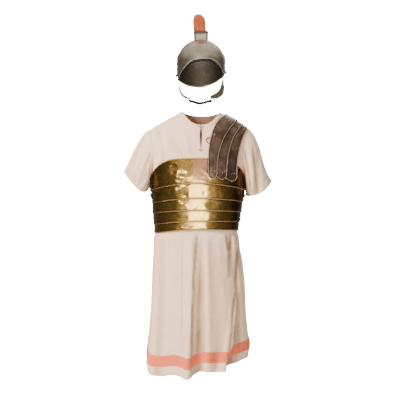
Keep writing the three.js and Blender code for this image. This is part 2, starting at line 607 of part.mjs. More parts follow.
// The shoulder lames. The table gives, for each turn over the shoulder, the four edges between the lames
// and how far the lowest one stands off the tunic. The back repeats the front.
const LAME_EDGES = [
  { turn: -4, edge0: 34.5, edge1: 70, edge2: 107, edge3: 149, lift: 9.3 },
  { turn: 11, edge0: 36, edge1: 77, edge2: 115, edge3: 154, lift: 9.2 },
  { turn: 20, edge0: 40, edge1: 88, edge2: 124, edge3: 162, lift: 5.7 },
  { turn: 30, edge0: 49, edge1: 102, edge2: 135, edge3: 171, lift: 3.6 },
  { turn: 42, edge0: 63, edge1: 121, edge2: 150, edge3: 182, lift: 1.6 },
  { turn: 54, edge0: 81, edge1: 137, edge2: 165, edge3: 192, lift: 1.5 },
  { turn: 66, edge0: 98, edge1: 149, edge2: 176, edge3: 199, lift: 1.5 },
  { turn: 90, edge0: 112, edge1: 159, edge2: 186, edge3: 205, lift: 1.5 },
];
const LAME_STEP = 2.3;        // each lame lies on the next one out
const LAME_TUCK = 8;          // how far a lame goes under the one above it
const LAME_RIM = 1.4;         // height of the rolled edge
const LAME_ROUND = 20;        // radius of the rounded end
const LAME_ENDS = [-284, -288, -295];
const LAME_BLUNT = 0.2;       // width of the very end, as a share of the lame
const ROUND_STEPS = [0, 1.8, 5.5, 11, 19.2];
const LAME_TURNS = [4, 9, 17, 26, 36, 48, 62, 76];
const edgeAt = (column, turn) => readTable(LAME_EDGES, 'turn', column, Math.min(turn, 180 - turn));

function lameWall(index) {
  const middle = (edgeAt(`edge${index}`, 0) + edgeAt(`edge${index + 1}`, 0)) / 2;
  const end = { x: middle, z: LAME_ENDS[index] };
  const turnOf = (z) => (z < UNDERARM ? (z - UNDERARM) / TURN_DROP : turnAt(end.x, z, 'front'));
  const front = [
    ...ROUND_STEPS.map((rise) => ({
      turn: turnOf(end.z + rise), open: Math.sqrt(1 - (1 - rise / LAME_ROUND) ** 2),
    })),
    ...LAME_TURNS.map((turn) => ({ turn, open: 1 })),
  ];
  const back = [...front].reverse().map(({ turn, open }) => ({ turn: 180 - turn, open }));
  const tuck = index === 0 ? 0 : LAME_TUCK;
  const lift = (turn) => edgeAt('lift', turn) + (2 - index) * LAME_STEP;
  const columns = [
    { share: 0, rim: index === 0 ? LAME_RIM : 0 }, { share: 0.08, rim: 0 }, { share: 0.5, rim: 0 },
    { share: 0.92, rim: 0 }, { share: 1, rim: LAME_RIM },
  ];
  const grid = (thick) => [...front, { turn: 90, open: 1 }, ...back].map(({ turn, open }) => {
    const left = edgeAt(`edge${index}`, turn) - tuck * clamp(open * 3 - 2, 0, 1);
    const right = edgeAt(`edge${index + 1}`, turn) - 1;
    const centre = (left + right) / 2;
    const half = ((right - left) / 2) * Math.max(open, LAME_BLUNT);
    return columns.map(({ share, rim }) => (
      overShoulder(centre + half * (2 * share - 1), turn, lift(turn) + (thick ? PLATE + rim : 0))));
  });
  return wallBetween(grid(true), grid(false));
}
for (const [index, name] of ['inner', 'middle', 'outer'].entries()) {
  addPiece(`shoulder_lame_${name}`, lameWall(index), bronze);
}

// A round-headed stud on the inner lame, and the fixed wire loop under its edge
const STUD = { x: 62, turn: 31, radius: 5, height: 4.5, clear: -0.4 };
function domeProfile(radius, height, steps) {
  const arc = Array.from({ length: steps + 1 }, (_, i) => {
    const a = (Math.PI / 2) * (i / steps);
    return new THREE.Vector2(Math.max(0, radius * Math.cos(a)), height * Math.sin(a));
  });
  arc[steps].x = 0;
  return [new THREE.Vector2(0, 0), ...arc];
}
function placed(geometry, seat, outwards) {
  const turn = new THREE.Quaternion().setFromUnitVectors(point(0, 1, 0), outwards);
  return geometry.applyQuaternion(turn).translate(seat.x, seat.y, seat.z);
}
const studLift = edgeAt('lift', STUD.turn) + 2 * LAME_STEP + PLATE + STUD.clear;
addPiece('shoulder_stud', placed(
  new THREE.LatheGeometry(domeProfile(STUD.radius, STUD.height, 3), 12),
  overShoulder(STUD.x, STUD.turn, studLift),
  shoulderNormal(STUD.x, STUD.turn),
), brass);

const LOOP = { x: 42, turn: 24.5, radius: 12, height: 2.7, wire: 1.2, lift: 2.1, liftFeet: 3.2 };
function wireLoop() {
  const places = Array.from({ length: 9 }, (_, i) => {
    const a = radians(mix(75, 285, i / 8));
    const share = Math.abs(i - 4) / 4;
    const x = LOOP.x + LOOP.radius * Math.cos(a);
    const turn = LOOP.turn + LOOP.height * Math.sin(a);
    return overShoulder(x, turn, mix(LOOP.lift, LOOP.liftFeet, share));
  });
  const section = new THREE.Shape();
  section.absarc(0, 0, LOOP.wire, 0, 2 * Math.PI);
  const path = new THREE.CatmullRomCurve3(places);
  return new THREE.ExtrudeGeometry(section, { extrudePath: path, steps: 10, curveSegments: 4 });
}
addPiece('lacing_loop', wireLoop(), bronze);

// The helmet, in its own frame: the origin is the middle of the bowl, at the height of the brow.
const helmet = new THREE.Group();
helmet.position.set(8.4, -15, 197);
costume.add(helmet);

const BOWL = { wide: 101.5, deep: 117, high: 106, low: 230 };
const BOWL_WALL = 1.6;
const RIM_SLANT = 10;         // how much higher the rim is at the wearer's left ear than in the middle
// Lower edge of the bowl round the head: 0 is the brow, 180 the nape
const BOWL_RIM = [
  { psi: 0, z: 5 }, { psi: 22, z: 0 }, { psi: 40, z: -16 }, { psi: 55, z: -34 }, { psi: 68, z: -48 },
  { psi: 85, z: -53 }, { psi: 115, z: -59 }, { psi: 150, z: -76 }, { psi: 180, z: -84 },
];
function bowlPoint(psi, rise, out) {
  const a = radians(psi);
  const e = radians(rise);
  const tall = rise >= 0 ? BOWL.high + out : BOWL.low;
  return point(
    (BOWL.wide + out) * Math.cos(e) * Math.sin(a),
    -(BOWL.deep + out) * Math.cos(e) * Math.cos(a),
    tall * Math.sin(e),
  );
}
function riseAt(z) {
  return (Math.asin(z / (z >= 0 ? BOWL.high : BOWL.low)) * 180) / Math.PI;
}
const rimHeight = (psi) => (
  readTable(BOWL_RIM, 'psi', 'z', Math.min(Math.abs(psi), 360 - Math.abs(psi)))
  + RIM_SLANT * Math.sin(radians(psi)));
const BOWL_COLUMNS = 28;
function bowlGrid(out) {
  return [0, 0.14, 0.3, 0.48, 0.66, 0.84, 1].map((share) => Array.from({ length: BOWL_COLUMNS }, (_, j) => {
    const psi = (360 * j) / BOWL_COLUMNS;
    const rim = riseAt(rimHeight(psi));
    return share === 1 ? point(0, 0, BOWL.high + out) : bowlPoint(psi, mix(rim, 90, share), out);
  }));
}

// Pivot pins at the ears go through the bowl and the cheek guards
const PIVOT = { y: 4, z: -40, slant: 7, pin: 2.5, head: 7, headHeight: 6, length: 19, clear: 0.3 };
const pivotHeight = (side) => PIVOT.z + side * PIVOT.slant;
function pinCutter(side) {
  const cutter = new THREE.CylinderGeometry(PIVOT.pin + PIVOT.clear, PIVOT.pin + PIVOT.clear, 60, 16);
  return solidOf(cutter.rotateZ(Math.PI / 2).translate(side * 90, PIVOT.y, pivotHeight(side)));
}
const bowl = solidOf(wallBetween(bowlGrid(0), bowlGrid(-BOWL_WALL), true));
const drilledBowl = bowl.subtract(pinCutter(-1)).subtract(pinCutter(1));
addPiece('helmet_bowl', geometryOf(drilledBowl), iron, helmet);

// The brow plate, swept from ear to ear. Tau is 0 at the right ear and 180 at the left one.
const BROW = { lift: 1.7, wall: 1.5, bead: 1.5, top: 49, end: 14, columns: 18, slant: 5 };
const BROW_FOOT = [
  { tau: 14, alpha: -50 }, { tau: 25, alpha: -36 }, { tau: 37, alpha: -16 }, { tau: 56, alpha: -3 },
  { tau: 72, alpha: 1.5 }, { tau: 90, alpha: 3 },
];
function browPoint(tau, alpha, out) {
  const t = radians(tau);
  const a = radians(alpha);
  const tall = alpha >= 0 ? BOWL.high + out : BOWL.low;
  return point(
    -(BOWL.wide + out) * Math.cos(t),
    -(BOWL.deep + out) * Math.sin(t) * Math.cos(a),
    tall * Math.sin(t) * Math.sin(a),
  );
}
function browPlate() {
  const taus = Array.from({ length: BROW.columns + 1 }, (_, j) => (
    mix(BROW.end, 180 - BROW.end, j / BROW.columns)));
  const rows = [
    { share: 0, bead: BROW.bead }, { share: 0.08, bead: 0 }, { share: 0.3, bead: 0 },
    { share: 0.53, bead: 0 }, { share: 0.76, bead: 0 }, { share: 1, bead: 0 },
  ];
  const grid = (wall) => rows.map(({ share, bead }) => taus.map((tau) => {
    const level = readTable(BROW_FOOT, 'tau', 'alpha', Math.min(tau, 180 - tau));
    const foot = level - BROW.slant * Math.cos(radians(tau));
    return browPoint(tau, mix(foot, BROW.top, share), BROW.lift + (wall ? BROW.wall + bead : 0));
  }));
  return wallBetween(grid(true), grid(false));
}
addPiece('brow_plate', browPlate(), iron, helmet);

// A black leather edge shows inside the brow.
const LINING = { wall: 2, gap: 2.2, from: -7, to: 20, columns: 18, end: 66 };
function browLining() {
  const psis = Array.from({ length: LINING.columns + 1 }, (_, j) => (
    mix(-LINING.end, LINING.end, j / LINING.columns)));
  const grid = (out) => [LINING.from, LINING.to].map((above) => psis.map((psi) => (
    bowlPoint(psi, riseAt(rimHeight(psi) + above), out))));
  const outside = -BOWL_WALL - LINING.gap;
  return wallBetween(grid(outside), grid(outside - LINING.wall));
}
addPiece('brow_lining', browLining(), blackLeather, helmet);

// The crest box is a four-sided sleeve of sheet iron that follows the bowl, wider at its open top.
const BOX = {
  front: -57, back: 78, half: 27, flare: 4, spread: 1.04, height: 37, wall: 1.6, gap: 1, long: 12, short: 4,
};
const BOX_TILT = 0.04;        // how much the box's top falls towards the wearer's left
const domeHeight = (x, y) => (
  BOWL.high * Math.sqrt(Math.max(0, 1 - (x / BOWL.wide) ** 2 - (y / BOWL.deep) ** 2)));
function boxRing(inset) {
  const half = BOX.half - inset;
  const [front, back] = [BOX.front + inset, BOX.back - inset];
  const along = (count, from, to) => Array.from({ length: count }, (_, j) => ({
    x: mix(from.x, to.x, j / count), y: mix(from.y, to.y, j / count),
  }));
  const corners = [
    { x: half, y: front }, { x: half, y: back }, { x: -half, y: back }, { x: -half, y: front },
  ];
  const count = (k) => (k % 2 ? BOX.short : BOX.long);
  return corners.flatMap((corner, k) => along(count(k), corner, corners[(k + 1) % 4]));
}
function boxWall() {
  const foot = (inset) => boxRing(inset).map(({ x, y }) => point(x, y, domeHeight(x, y) + BOX.gap));
  const top = (inset) => boxRing(inset).map(({ x, y }) => {
    const wide = x * (1 + BOX.flare / BOX.half);
    return point(wide, y * BOX.spread, domeHeight(0, y) + BOX.height - wide * BOX_TILT);
  });
  return wallBetween([foot(0), top(0)], [foot(BOX.wall), top(BOX.wall)], true);
}
addPiece('crest_box', boxWall(), iron, helmet);

// The crest: rows of bristle locks, each with its root in a wooden block inside the box.
const CREST = {
  rows: 5, files: 21, blockTop: 31, rootDepth: 6, length: 77, thick: 4.3, inset: 3, ends: 7,
  lean: 0.13, fan: 0.9, spread: 0.12, left: -22, right: 16,
};
function lockSolid(x, y, file, row) {
  const sideways = (row - (CREST.rows - 1) / 2) / (CREST.rows - 1);
  const lengthways = (file - (CREST.files - 1) / 2) / (CREST.files - 1);
  const root = domeHeight(0, y) + CREST.blockTop - CREST.rootDepth;
  const crown = 1 - 0.5 * Math.abs(sideways) ** 2 - 0.1 * ((file * 7 + row * 3) % 5) / 5;
  const lean = point(sideways * CREST.spread - CREST.lean, lengthways * CREST.fan, 1).normalize();
  const foot = point(x, y, root);
  const tip = foot.clone().addScaledVector(lean, CREST.length * crown);
  const neck = foot.clone().lerp(tip, 0.9);
  const ring = (centre, radius, turn) => [0, 1, 2].map((k) => {
    const a = radians(120 * k + turn);
    return centre.clone().add(point(radius * Math.cos(a), radius * Math.sin(a) * 0.62, 0));
  });
  const turn = 40 * ((file + row) % 3);
  const feet = ring(foot, CREST.thick, turn);
  const necks = ring(neck, CREST.thick * 0.9, turn);
  const apex = [tip, tip, tip];
  const middle = [foot, foot, foot];
  return solidOf(wallBetween([feet, necks, apex], [middle, middle, middle], true));
}
function crestBlock() {
  const ys = Array.from({ length: BOX.long + 1 }, (_, j) => (
    mix(BOX.front + CREST.inset, BOX.back - CREST.inset, j / BOX.long)));
  const half = BOX.half - CREST.inset;
  const grid = (top) => ys.map((y) => [-half, -half / 3, half / 3, half].map((x) => (
    point(x, y, top ? domeHeight(0, y) + CREST.blockTop : domeHeight(x, y) + BOX.gap))));
  return solidOf(wallBetween(grid(true), grid(false)));
}
function crest() {
  const locks = [];
  for (let file = 0; file < CREST.files; file += 1) {
    for (let row = 0; row < CREST.rows; row += 1) {
      const x = mix(CREST.left, CREST.right, row / (CREST.rows - 1));
      const y = mix(BOX.front + CREST.ends, BOX.back - CREST.ends, file / (CREST.files - 1));
      locks.push(lockSolid(x, y, file, row));
    }
  }
  return wasm.Manifold.union([crestBlock(), ...locks]);
}
addPiece('crest', geometryOf(crest()), bristle, helmet);

// Cheek guards: curved plates that hang from the ear pins and follow the jaw. Each row gives the front and
// the rear edge, with x measured outwards, and bulge is how far the middle stands out from the edges.
const GUARD_WALL = 1.5;
const GUARDS = [
  {
    name: 'right', side: -1, bulge: 1,
    rows: [
      { fx: 86, fy: -20, fz: -24, rx: 91, ry: 16, rz: -26 },
      { fx: 88, fy: -27, fz: -48, rx: 91, ry: 20, rz: -50 },
      { fx: 90, fy: -30, fz: -74, rx: 92.5, ry: 20, rz: -76 },
      { fx: 89, fy: -36, fz: -98, rx: 93, ry: 12, rz: -101 },
      { fx: 81, fy: -48, fz: -121, rx: 86, ry: -4, rz: -124 },
      { fx: 66, fy: -60, fz: -138, rx: 71, ry: -22, rz: -142 },
      { fx: 52, fy: -70, fz: -146, rx: 56, ry: -42, rz: -150 },
      { fx: 43, fy: -74, fz: -149, rx: 46, ry: -58, rz: -153 },
    ],
  },
  {
    name: 'left', side: 1, bulge: 3,
    rows: [
      { fx: 82, fy: -20, fz: -14, rx: 90, ry: 16, rz: -16 },
      { fx: 88, fy: -27, fz: -42, rx: 92, ry: 20, rz: -44 },
      { fx: 88, fy: -32, fz: -72, rx: 95, ry: 20, rz: -72 },
      { fx: 81, fy: -42, fz: -99, rx: 98, ry: 10, rz: -102 },
      { fx: 72, fy: -54, fz: -117, rx: 91, ry: -5, rz: -127 },
      { fx: 56, fy: -66, fz: -130, rx: 76, ry: -24, rz: -143 },
      { fx: 42, fy: -74, fz: -139, rx: 56, ry: -44, rz: -150 },
      { fx: 33, fy: -77, fz: -145, rx: 40, ry: -60, rz: -152 },
    ],
  },
];
function guardWall(guard) {
  const rows = guard.rows.map((row) => ({
    front: point(guard.side * row.fx, row.fy, row.fz), rear: point(guard.side * row.rx, row.ry, row.rz),
  }));
  const column = (key) => new THREE.CatmullRomCurve3(rows.map((row) => row[key]));
  const [frontEdge, rearEdge] = [column('front'), column('rear')];
  const surface = (u, v) => frontEdge.getPoint(clamp(v, 0, 1)).lerp(rearEdge.getPoint(clamp(v, 0, 1)), u)
    .add(point(guard.side * guard.bulge * Math.sin(Math.PI * clamp(u, 0, 1)), 0, 0));
  const shares = Array.from({ length: 13 }, (_, i) => i / 12);
  const grid = (out) => shares.map((v) => [0, 0.33, 0.67, 1].map((u) => {
    const within = [clamp(u, 0.05, 0.95), clamp(v, 0.02, 0.98)];
    const normal = normalOf(surface, ...within, 0.05, 0.02, point(0, 0, -60));
    return surface(u, v).addScaledVector(normal, out);
  }));
  return wallBetween(grid(0), grid(-GUARD_WALL));
}
const PIVOT_PROFILE = [
  [0, 0], [PIVOT.pin, 0], [PIVOT.pin, PIVOT.length], [PIVOT.head, PIVOT.length],
  [PIVOT.head * 0.8, PIVOT.length + PIVOT.headHeight * 0.7], [0, PIVOT.length + PIVOT.headHeight],
].map(([x, y]) => new THREE.Vector2(x, y));
for (const guard of GUARDS) {
  const plate = solidOf(guardWall(guard)).subtract(pinCutter(guard.side));
  addPiece(`cheek_guard_${guard.name}`, geometryOf(plate), iron, helmet);
  const pin = new THREE.LatheGeometry(PIVOT_PROFILE, 12);
  const start = point(guard.side * 83, PIVOT.y, pivotHeight(guard.side));
  addPiece(`ear_pivot_${guard.name}`, placed(pin, start, point(guard.side, 0, 0)), bronze, helmet);
}

// The chin tie joins the tips of the cheek guards from below.
const TIE = [
  { x: -54, y: -58, z: -152 }, { x: -40, y: -66, z: -154 }, { x: -4, y: -70, z: -163 },
  { x: 34, y: -69, z: -154 }, { x: 48, y: -61, z: -152.6 },
];
const TIE_HALF = 7;
const TIE_CLEAR = 0.4;
const TIE_TILT = 9;           // how much lower the tie's front edge is in the middle
function chinTie() {
  const line = new THREE.CatmullRomCurve3(TIE.map((row) => point(row.x, row.y, row.z)));
  const shares = Array.from({ length: 11 }, (_, i) => i / 10);
  const grid = (drop) => shares.map((t) => [-TIE_HALF, TIE_HALF].map((across) => {
    const tilt = across < 0 ? TIE_TILT * Math.sin(Math.PI * t) : 0;
    return line.getPoint(t).add(point(0, across, -drop - tilt));
  }));
  return wallBetween(grid(LEATHER + TIE_CLEAR), grid(TIE_CLEAR));
}
addPiece('chin_tie', chinTie(), blackLeather, helmet);

// A thread tie holds the neckline's corners over the slit, and another crosses the slit's foot.
const TIES = [
  { name: 'neck_tie', z: -74, half: 9, thick: 1.1, gap: 2.1 },
  { name: 'slit_tie', z: -170, half: 8, thick: 1.1, gap: 0.4 },
];
function threadTie(tie) {
  const places = [-1, -0.5, 0, 0.5, 1].map((share) => {
    const x = NECK_CENTRE + tie.half * share;
    return overShoulder(x, turnAt(x, tie.z - 3 * Math.cos(Math.PI * share), 'front'), tie.thick + tie.gap);
  });
  const section = new THREE.Shape();
  section.absarc(0, 0, tie.thick, 0, 2 * Math.PI);
  const path = new THREE.CatmullRomCurve3(places);
  return new THREE.ExtrudeGeometry(section, { extrudePath: path, steps: 6, curveSegments: 3 });
}
for (const tie of TIES) addPiece(tie.name, threadTie(tie), thread);

export default costume;
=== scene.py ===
# The looks of a Roman centurion's stage costume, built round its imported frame. Sizes are worked out in
# millimetres in the part's own frame, as in its source, and each mesh is made in metres.
import math

import bpy
import numpy as np
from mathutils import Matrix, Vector


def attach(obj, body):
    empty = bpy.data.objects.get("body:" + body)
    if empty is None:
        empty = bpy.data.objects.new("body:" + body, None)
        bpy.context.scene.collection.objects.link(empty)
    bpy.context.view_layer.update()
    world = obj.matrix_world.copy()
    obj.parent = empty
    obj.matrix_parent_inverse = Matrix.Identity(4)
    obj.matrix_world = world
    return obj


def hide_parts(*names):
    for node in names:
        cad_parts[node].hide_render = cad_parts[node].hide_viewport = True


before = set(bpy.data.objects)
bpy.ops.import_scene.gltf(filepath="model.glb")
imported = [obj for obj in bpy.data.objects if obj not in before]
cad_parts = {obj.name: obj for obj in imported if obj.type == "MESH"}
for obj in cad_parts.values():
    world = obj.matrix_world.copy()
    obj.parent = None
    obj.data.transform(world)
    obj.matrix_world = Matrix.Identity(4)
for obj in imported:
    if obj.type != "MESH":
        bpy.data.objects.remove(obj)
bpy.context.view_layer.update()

MM = 0.001
FINE = 1.0

# Where the camera stands, in millimetres, and the height of the floor
VIEW_DISTANCE = 3600.0
VIEW_X = 4.2
VIEW_Z = -370.0
FOCAL = 77.14
FLOOR_Z = -1560.0
FLOOR_RADIUS = 950.0

# Thicknesses and gaps, as in the part's source
CLOTH = 1.7
SEAM = 0.3
TRIM = 1.2
PLATE = 1.5
LEATHER = 2.2
UNDERARM = -280.0
SHOULDER_TIP = 208.0
NECK_CENTRE = 8.0
NECK_HALF = 80.0
NECK_DROP = {"front": 63.0, "back": 14.0}
ARMHOLE_PULL = 20.0
SQUARENESS = 2.3
SHOULDER_POWER = 2.6
HEM_MARGIN = 34.0
HEM_RIBBON = 44.0
NOMINAL_HEM = -1050.0
SKIRT_TOP = -530.0
SHOULDER_SHARE = {"front": 11 / 40, "back": 9 / 32}
SHOULDER = {"top": 61.0, "fall": 0.62, "middle": 4.0, "round": 60.0}
FOLD_START = 40.0

# The smallest angle in degrees between two faces whose edge is drawn sharp
SHARP = 38.0


def table(names, *rows):
    """A table with named columns, each of them an array."""
    return {name: np.array(column, float) for name, column in zip(names.split(), zip(*rows))}


SECTIONS = table(
    "z half front back lean",
    (60, 244, 112, 108, 0),
    (-72, 238, 122, 116, 0),
    (-180, 222, 134, 124, -2),
    (-250, 204, 141, 127, -4),
    (-280, 197, 143, 127, -5),
    (-302, 197, 143, 126, -5),
    (-370, 188, 139, 120, -6),
    (-433, 181, 133, 114, -9),
    (-500, 173, 128, 112, -11),
    (-530, 180, 135, 119, -11),
    (-580, 183, 140, 127, -9),
    (-690, 192, 151, 145, -5),
    (-790, 197, 163, 158, -4),
    (-916, 207, 180, 171, -3),
    (-960, 213, 187, 176, -3),
    (-1020, 213, 194, 182, -8),
    (-1090, 214, 200, 188, -9),
)
HEM = table(
    "phi z",
    (0, -1046), (13, -1053), (26, -1063), (34, -1083), (50, -1080), (68, -1069), (77, -1076),
    (83, -1082), (88, -1068), (93, -1054), (105, -1056), (118, -1056), (124, -1045), (143, -1023),
    (165, -1010), (180, -1008), (225, -1030), (270, -1048), (315, -1052), (360, -1050),
)
FOLDS = table(
    "top foot phi_top phi_foot out out_foot wide wide_foot",
    (-505, -1080, 24, 29, 4, 12, 11, 12),
    (-505, -1080, 40, 42, -2, -7, 13, 14),
    (-505, -1085, 85, 82.5, 6, 28, 9, 9),
    (-505, -1075, 93.5, 90.5, -5, -22, 8, 8),
    (-505, -1062, 101, 99.5, 3, 9, 9, 10),
    (-505, -1060, 110, 109, -2, -6, 9, 10),
    (-505, -700, 131, 130, 4, 0, 8, 8),
    (-505, -710, 139, 138, -10, 0, 8, 8),
    (-505, -760, 148, 152, 4, 4, 8, 9),
    (-735, -1060, 141, 116.5, 5, 18, 10, 11),
    (-735, -1050, 151, 128.5, -6, -22, 9, 12),
    (-560, -1030, 171, 158, 3, 9, 9, 12),
    (-520, -1035, 202, 200, -3, -9, 12, 13),
    (-520, -1040, 222, 220, 4, 14, 13, 14),
    (-520, -1045, 243, 242, -3, -10, 12, 13),
    (-520, -1050, 262, 263, 5, 16, 13, 14),
    (-520, -1052, 283, 285, -4, -12, 12, 13),
    (-520, -1054, 304, 307, 4, 14, 13, 14),
    (-520, -1054, 326, 330, -3, -9, 12, 13),
)


# Arithmetic on whole grids of points


def mix(a, b, t):
    return a + (b - a) * t


def smooth(low, high, value):
    t = np.clip((value - low) / (high - low), 0, 1)
    return t * t * (3 - 2 * t)


def vec(x, y, z):
    return np.stack(np.broadcast_arrays(x, y, z), -1).astype(float)


def unit(v):
    return v / np.maximum(np.linalg.norm(v, axis=-1, keepdims=True), 1e-9)


def dot(a, b):
    return (a * b).sum(-1, keepdims=True)


def hump(value, middle, wide):
    """1 at the middle, and soft to both sides."""
    return np.exp(-(((value - middle) / wide) ** 2))


def swell(away):
    """1 at a distance of 0, and 0 from a distance of 1 on."""
    return 0.5 * (1 + np.cos(math.pi * np.minimum(away, 1)))


def each(rows):
    """A table's rows one after another, each with its values by column."""
    for values in zip(*rows.values()):
        yield dict(zip(rows, values))


def fine(count):
    return int(count * FINE)


def curve(rows, key, column, at):
    """A table's column between its rows, as a smooth curve that never overshoots a row."""
    x, y = rows[key], rows[column]
    if x[0] > x[-1]:
        x, y = x[::-1], y[::-1]
    at = np.clip(at, x[0], x[-1])
    step = np.diff(x)
    slope = np.diff(y) / step
    tangent = np.concatenate([slope[:1], np.zeros(len(x) - 2), slope[-1:]])
    before, after = slope[:-1], slope[1:]
    same = before * after > 0
    total = np.where(same, before + after, 1)
    tangent[1:-1] = np.where(same, 2 * before * after / total, 0)
    i = np.clip(np.searchsorted(x, at, side="right") - 1, 0, len(x) - 2)
    t = (at - x[i]) / step[i]
    t2, t3 = t * t, t * t * t
    ends = y[i] * (2 * t3 - 3 * t2 + 1) + y[i + 1] * (3 * t2 - 2 * t3)
    return ends + step[i] * (tangent[i] * (t3 - 2 * t2 + t) + tangent[i + 1] * (t3 - t2))


def ripple(points, size, seed, waves=7):
    """Smooth unevenness from -1 to 1, with humps of about a size, the same in each run."""
    random = np.random.default_rng(seed)
    total = np.zeros(points.shape[:-1])
    for _ in range(waves):
        direction = unit(random.normal(size=3)) * random.uniform(0.6, 1.5)
        phase = random.uniform(0, 2 * math.pi)
        total += np.sin(points @ (direction * 2 * math.pi / (2 * size)) + phase)
    return total / waves * 1.6


def uneven(points, *layers):
    """Ripples over one another, each with its height, the size of its humps and its seed."""
    return sum(height * ripple(points, size, seed) for height, size, seed in layers)


# The form of the cloth and of the plates on it


def shoulder_height(x):
    return SHOULDER["top"] - SHOULDER["fall"] * np.hypot(x - SHOULDER["middle"], SHOULDER["round"])


def form_point(phi, z):
    phi, z = np.broadcast_arrays(np.asarray(phi, float), np.asarray(z, float))
    a = np.radians(phi)
    across = np.sign(np.cos(a)) * np.abs(np.cos(a)) ** (2 / SQUARENESS)
    along = np.sign(np.sin(a)) * np.abs(np.sin(a)) ** (2 / SQUARENESS)
    x = curve(SECTIONS, "z", "lean", z) - curve(SECTIONS, "z", "half", z) * across
    depth = np.where(along > 0, curve(SECTIONS, "z", "front", z), curve(SECTIONS, "z", "back", z))
    share = np.clip((z - UNDERARM) / (shoulder_height(x) - UNDERARM), 0, 1)
    return vec(x, -depth * along * np.sqrt(1 - share**SHOULDER_POWER), z)


def normal_of(surface, u, v, step_u, step_v, middle):
    """The unit normal of a surface of two numbers, turned away from a middle point."""
    along_u = surface(u + step_u, v) - surface(u - step_u, v)
    along_v = surface(u, v + step_v) - surface(u, v - step_v)
    normal = unit(np.cross(along_u, along_v))
    return np.where(dot(normal, surface(u, v) - middle) < 0, -normal, normal)


def form_normal(phi, z):
    return normal_of(form_point, phi, z, 0.6, 0.6, vec(0, 0, np.minimum(z, -120)))


def over_form(phi, z, out):
    return form_point(phi, z) + form_normal(phi, z) * np.asarray(out, float)[..., None]


def fold_depth(phi, z):
    total = np.zeros(np.broadcast(phi, z).shape)
    for fold in each(FOLDS):
        down = fold["top"] - z
        along = np.clip(down / (fold["top"] - fold["foot"]), 0, 1)
        centre = mix(fold["phi_top"], fold["phi_foot"], along)
        away = np.abs(phi - centre) / mix(fold["wide"], fold["wide_foot"], along)
        start = np.clip(down / FOLD_START, 0, 1)
        total += mix(fold["out"], fold["out_foot"], along) * start * swell(away)
    return total


def skirt_point(phi, z):
    return over_form(phi, z, fold_depth(np.mod(np.asarray(phi, float) + 360, 360), z))


def skirt_normal(phi, z):
    return normal_of(skirt_point, phi, z, 0.6, 2, vec(0, 0, np.minimum(z, -120)))


def shoulder_point(x, turn):
    """The upper body of the cloth, over the place across it and the turn over the shoulder line."""
    x, turn = np.broadcast_arrays(np.asarray(x, float), np.asarray(turn, float))
    a = np.radians(np.clip(turn, 0, 180))
    drop = (np.minimum(turn, 0) + np.minimum(180 - turn, 0)) * 4
    top = shoulder_height(x)
    z = UNDERARM + (top - UNDERARM) * np.sin(a) ** (2 / SHOULDER_POWER) + drop
    across = np.abs(x - curve(SECTIONS, "z", "lean", z)) / curve(SECTIONS, "z", "half", z)
    edge = np.maximum(0, 1 - across**SQUARENESS) ** (1 / SQUARENESS)
    depth = np.where(turn < 90, curve(SECTIONS, "z", "front", z), curve(SECTIONS, "z", "back", z))
    return vec(x, -depth * edge * np.cos(a), z)


def shoulder_normal(x, turn):
    return normal_of(shoulder_point, x, turn, 0.6, 0.6, vec(np.asarray(x) * 0.6, 0, -200))


def over_shoulder(x, turn, out):
    x, turn, out = np.broadcast_arrays(np.asarray(x, float), turn, out)
    return shoulder_point(x, turn) + shoulder_normal(x, turn) * out[..., None]


def turn_at(x, z, face):
    share = np.clip((z - UNDERARM) / (shoulder_height(x) - UNDERARM), 0, 1)
    turn = np.degrees(np.arcsin(share ** (SHOULDER_POWER / 2)))
    return turn if face == "front" else 180 - turn


# Meshes


def quads(a, b, c, d):
    return np.stack([a, b, c, d], -1).reshape(-1, 4)


def wall_faces(here, after, under):
    """A wall's outer and inner faces, and those along its first and its last row."""
    return [
        quads(here[:-1], after[:-1], after[1:], here[1:]),
        quads(here[:-1], here[1:], after[1:], after[:-1]) + under,
        quads(here[0] + under, after[0] + under, after[0], here[0]),
        quads(here[-1], after[-1], after[-1] + under, here[-1] + under),
    ]


def wall(outer, inner, around=False):
    """The points and faces of a closed wall between two grids of points, which may run right round."""
    points = np.concatenate([outer.reshape(-1, 3), inner.reshape(-1, 3)])
    under = len(points) // 2
    number = np.arange(under).reshape(outer.shape[:2])
    if around:
        return points, np.concatenate(wall_faces(number, np.roll(number, -1, 1), under))
    faces = wall_faces(number[:, :-1], number[:, 1:], under)
    first, last = number[:, 0], number[:, -1]
    faces.append(quads(first[:-1], first[1:], first[1:] + under, first[:-1] + under))
    faces.append(quads(last[:-1] + under, last[1:] + under, last[1:], last[:-1]))
    return points, np.concatenate(faces)


def tube_faces(number):
    """The faces between rings of numbered points."""
    after = np.roll(number, -1, 1)
    return quads(number[:-1], after[:-1], after[1:], number[1:]).tolist()


def closed_tube(rings, low, top):
    """The points and faces of a tube through rings of points, closed by a point at each end."""
    number = np.arange(rings.shape[0] * rings.shape[1]).reshape(rings.shape[:2])
    after = np.roll(number, -1, 1)
    tip = np.full(rings.shape[1], number.size)
    faces = tube_faces(number)
    faces += np.stack([after[0], number[0], tip], -1).tolist()
    faces += np.stack([number[-1], after[-1], tip + 1], -1).tolist()
    return np.concatenate([rings.reshape(-1, 3), [low, top]]), faces


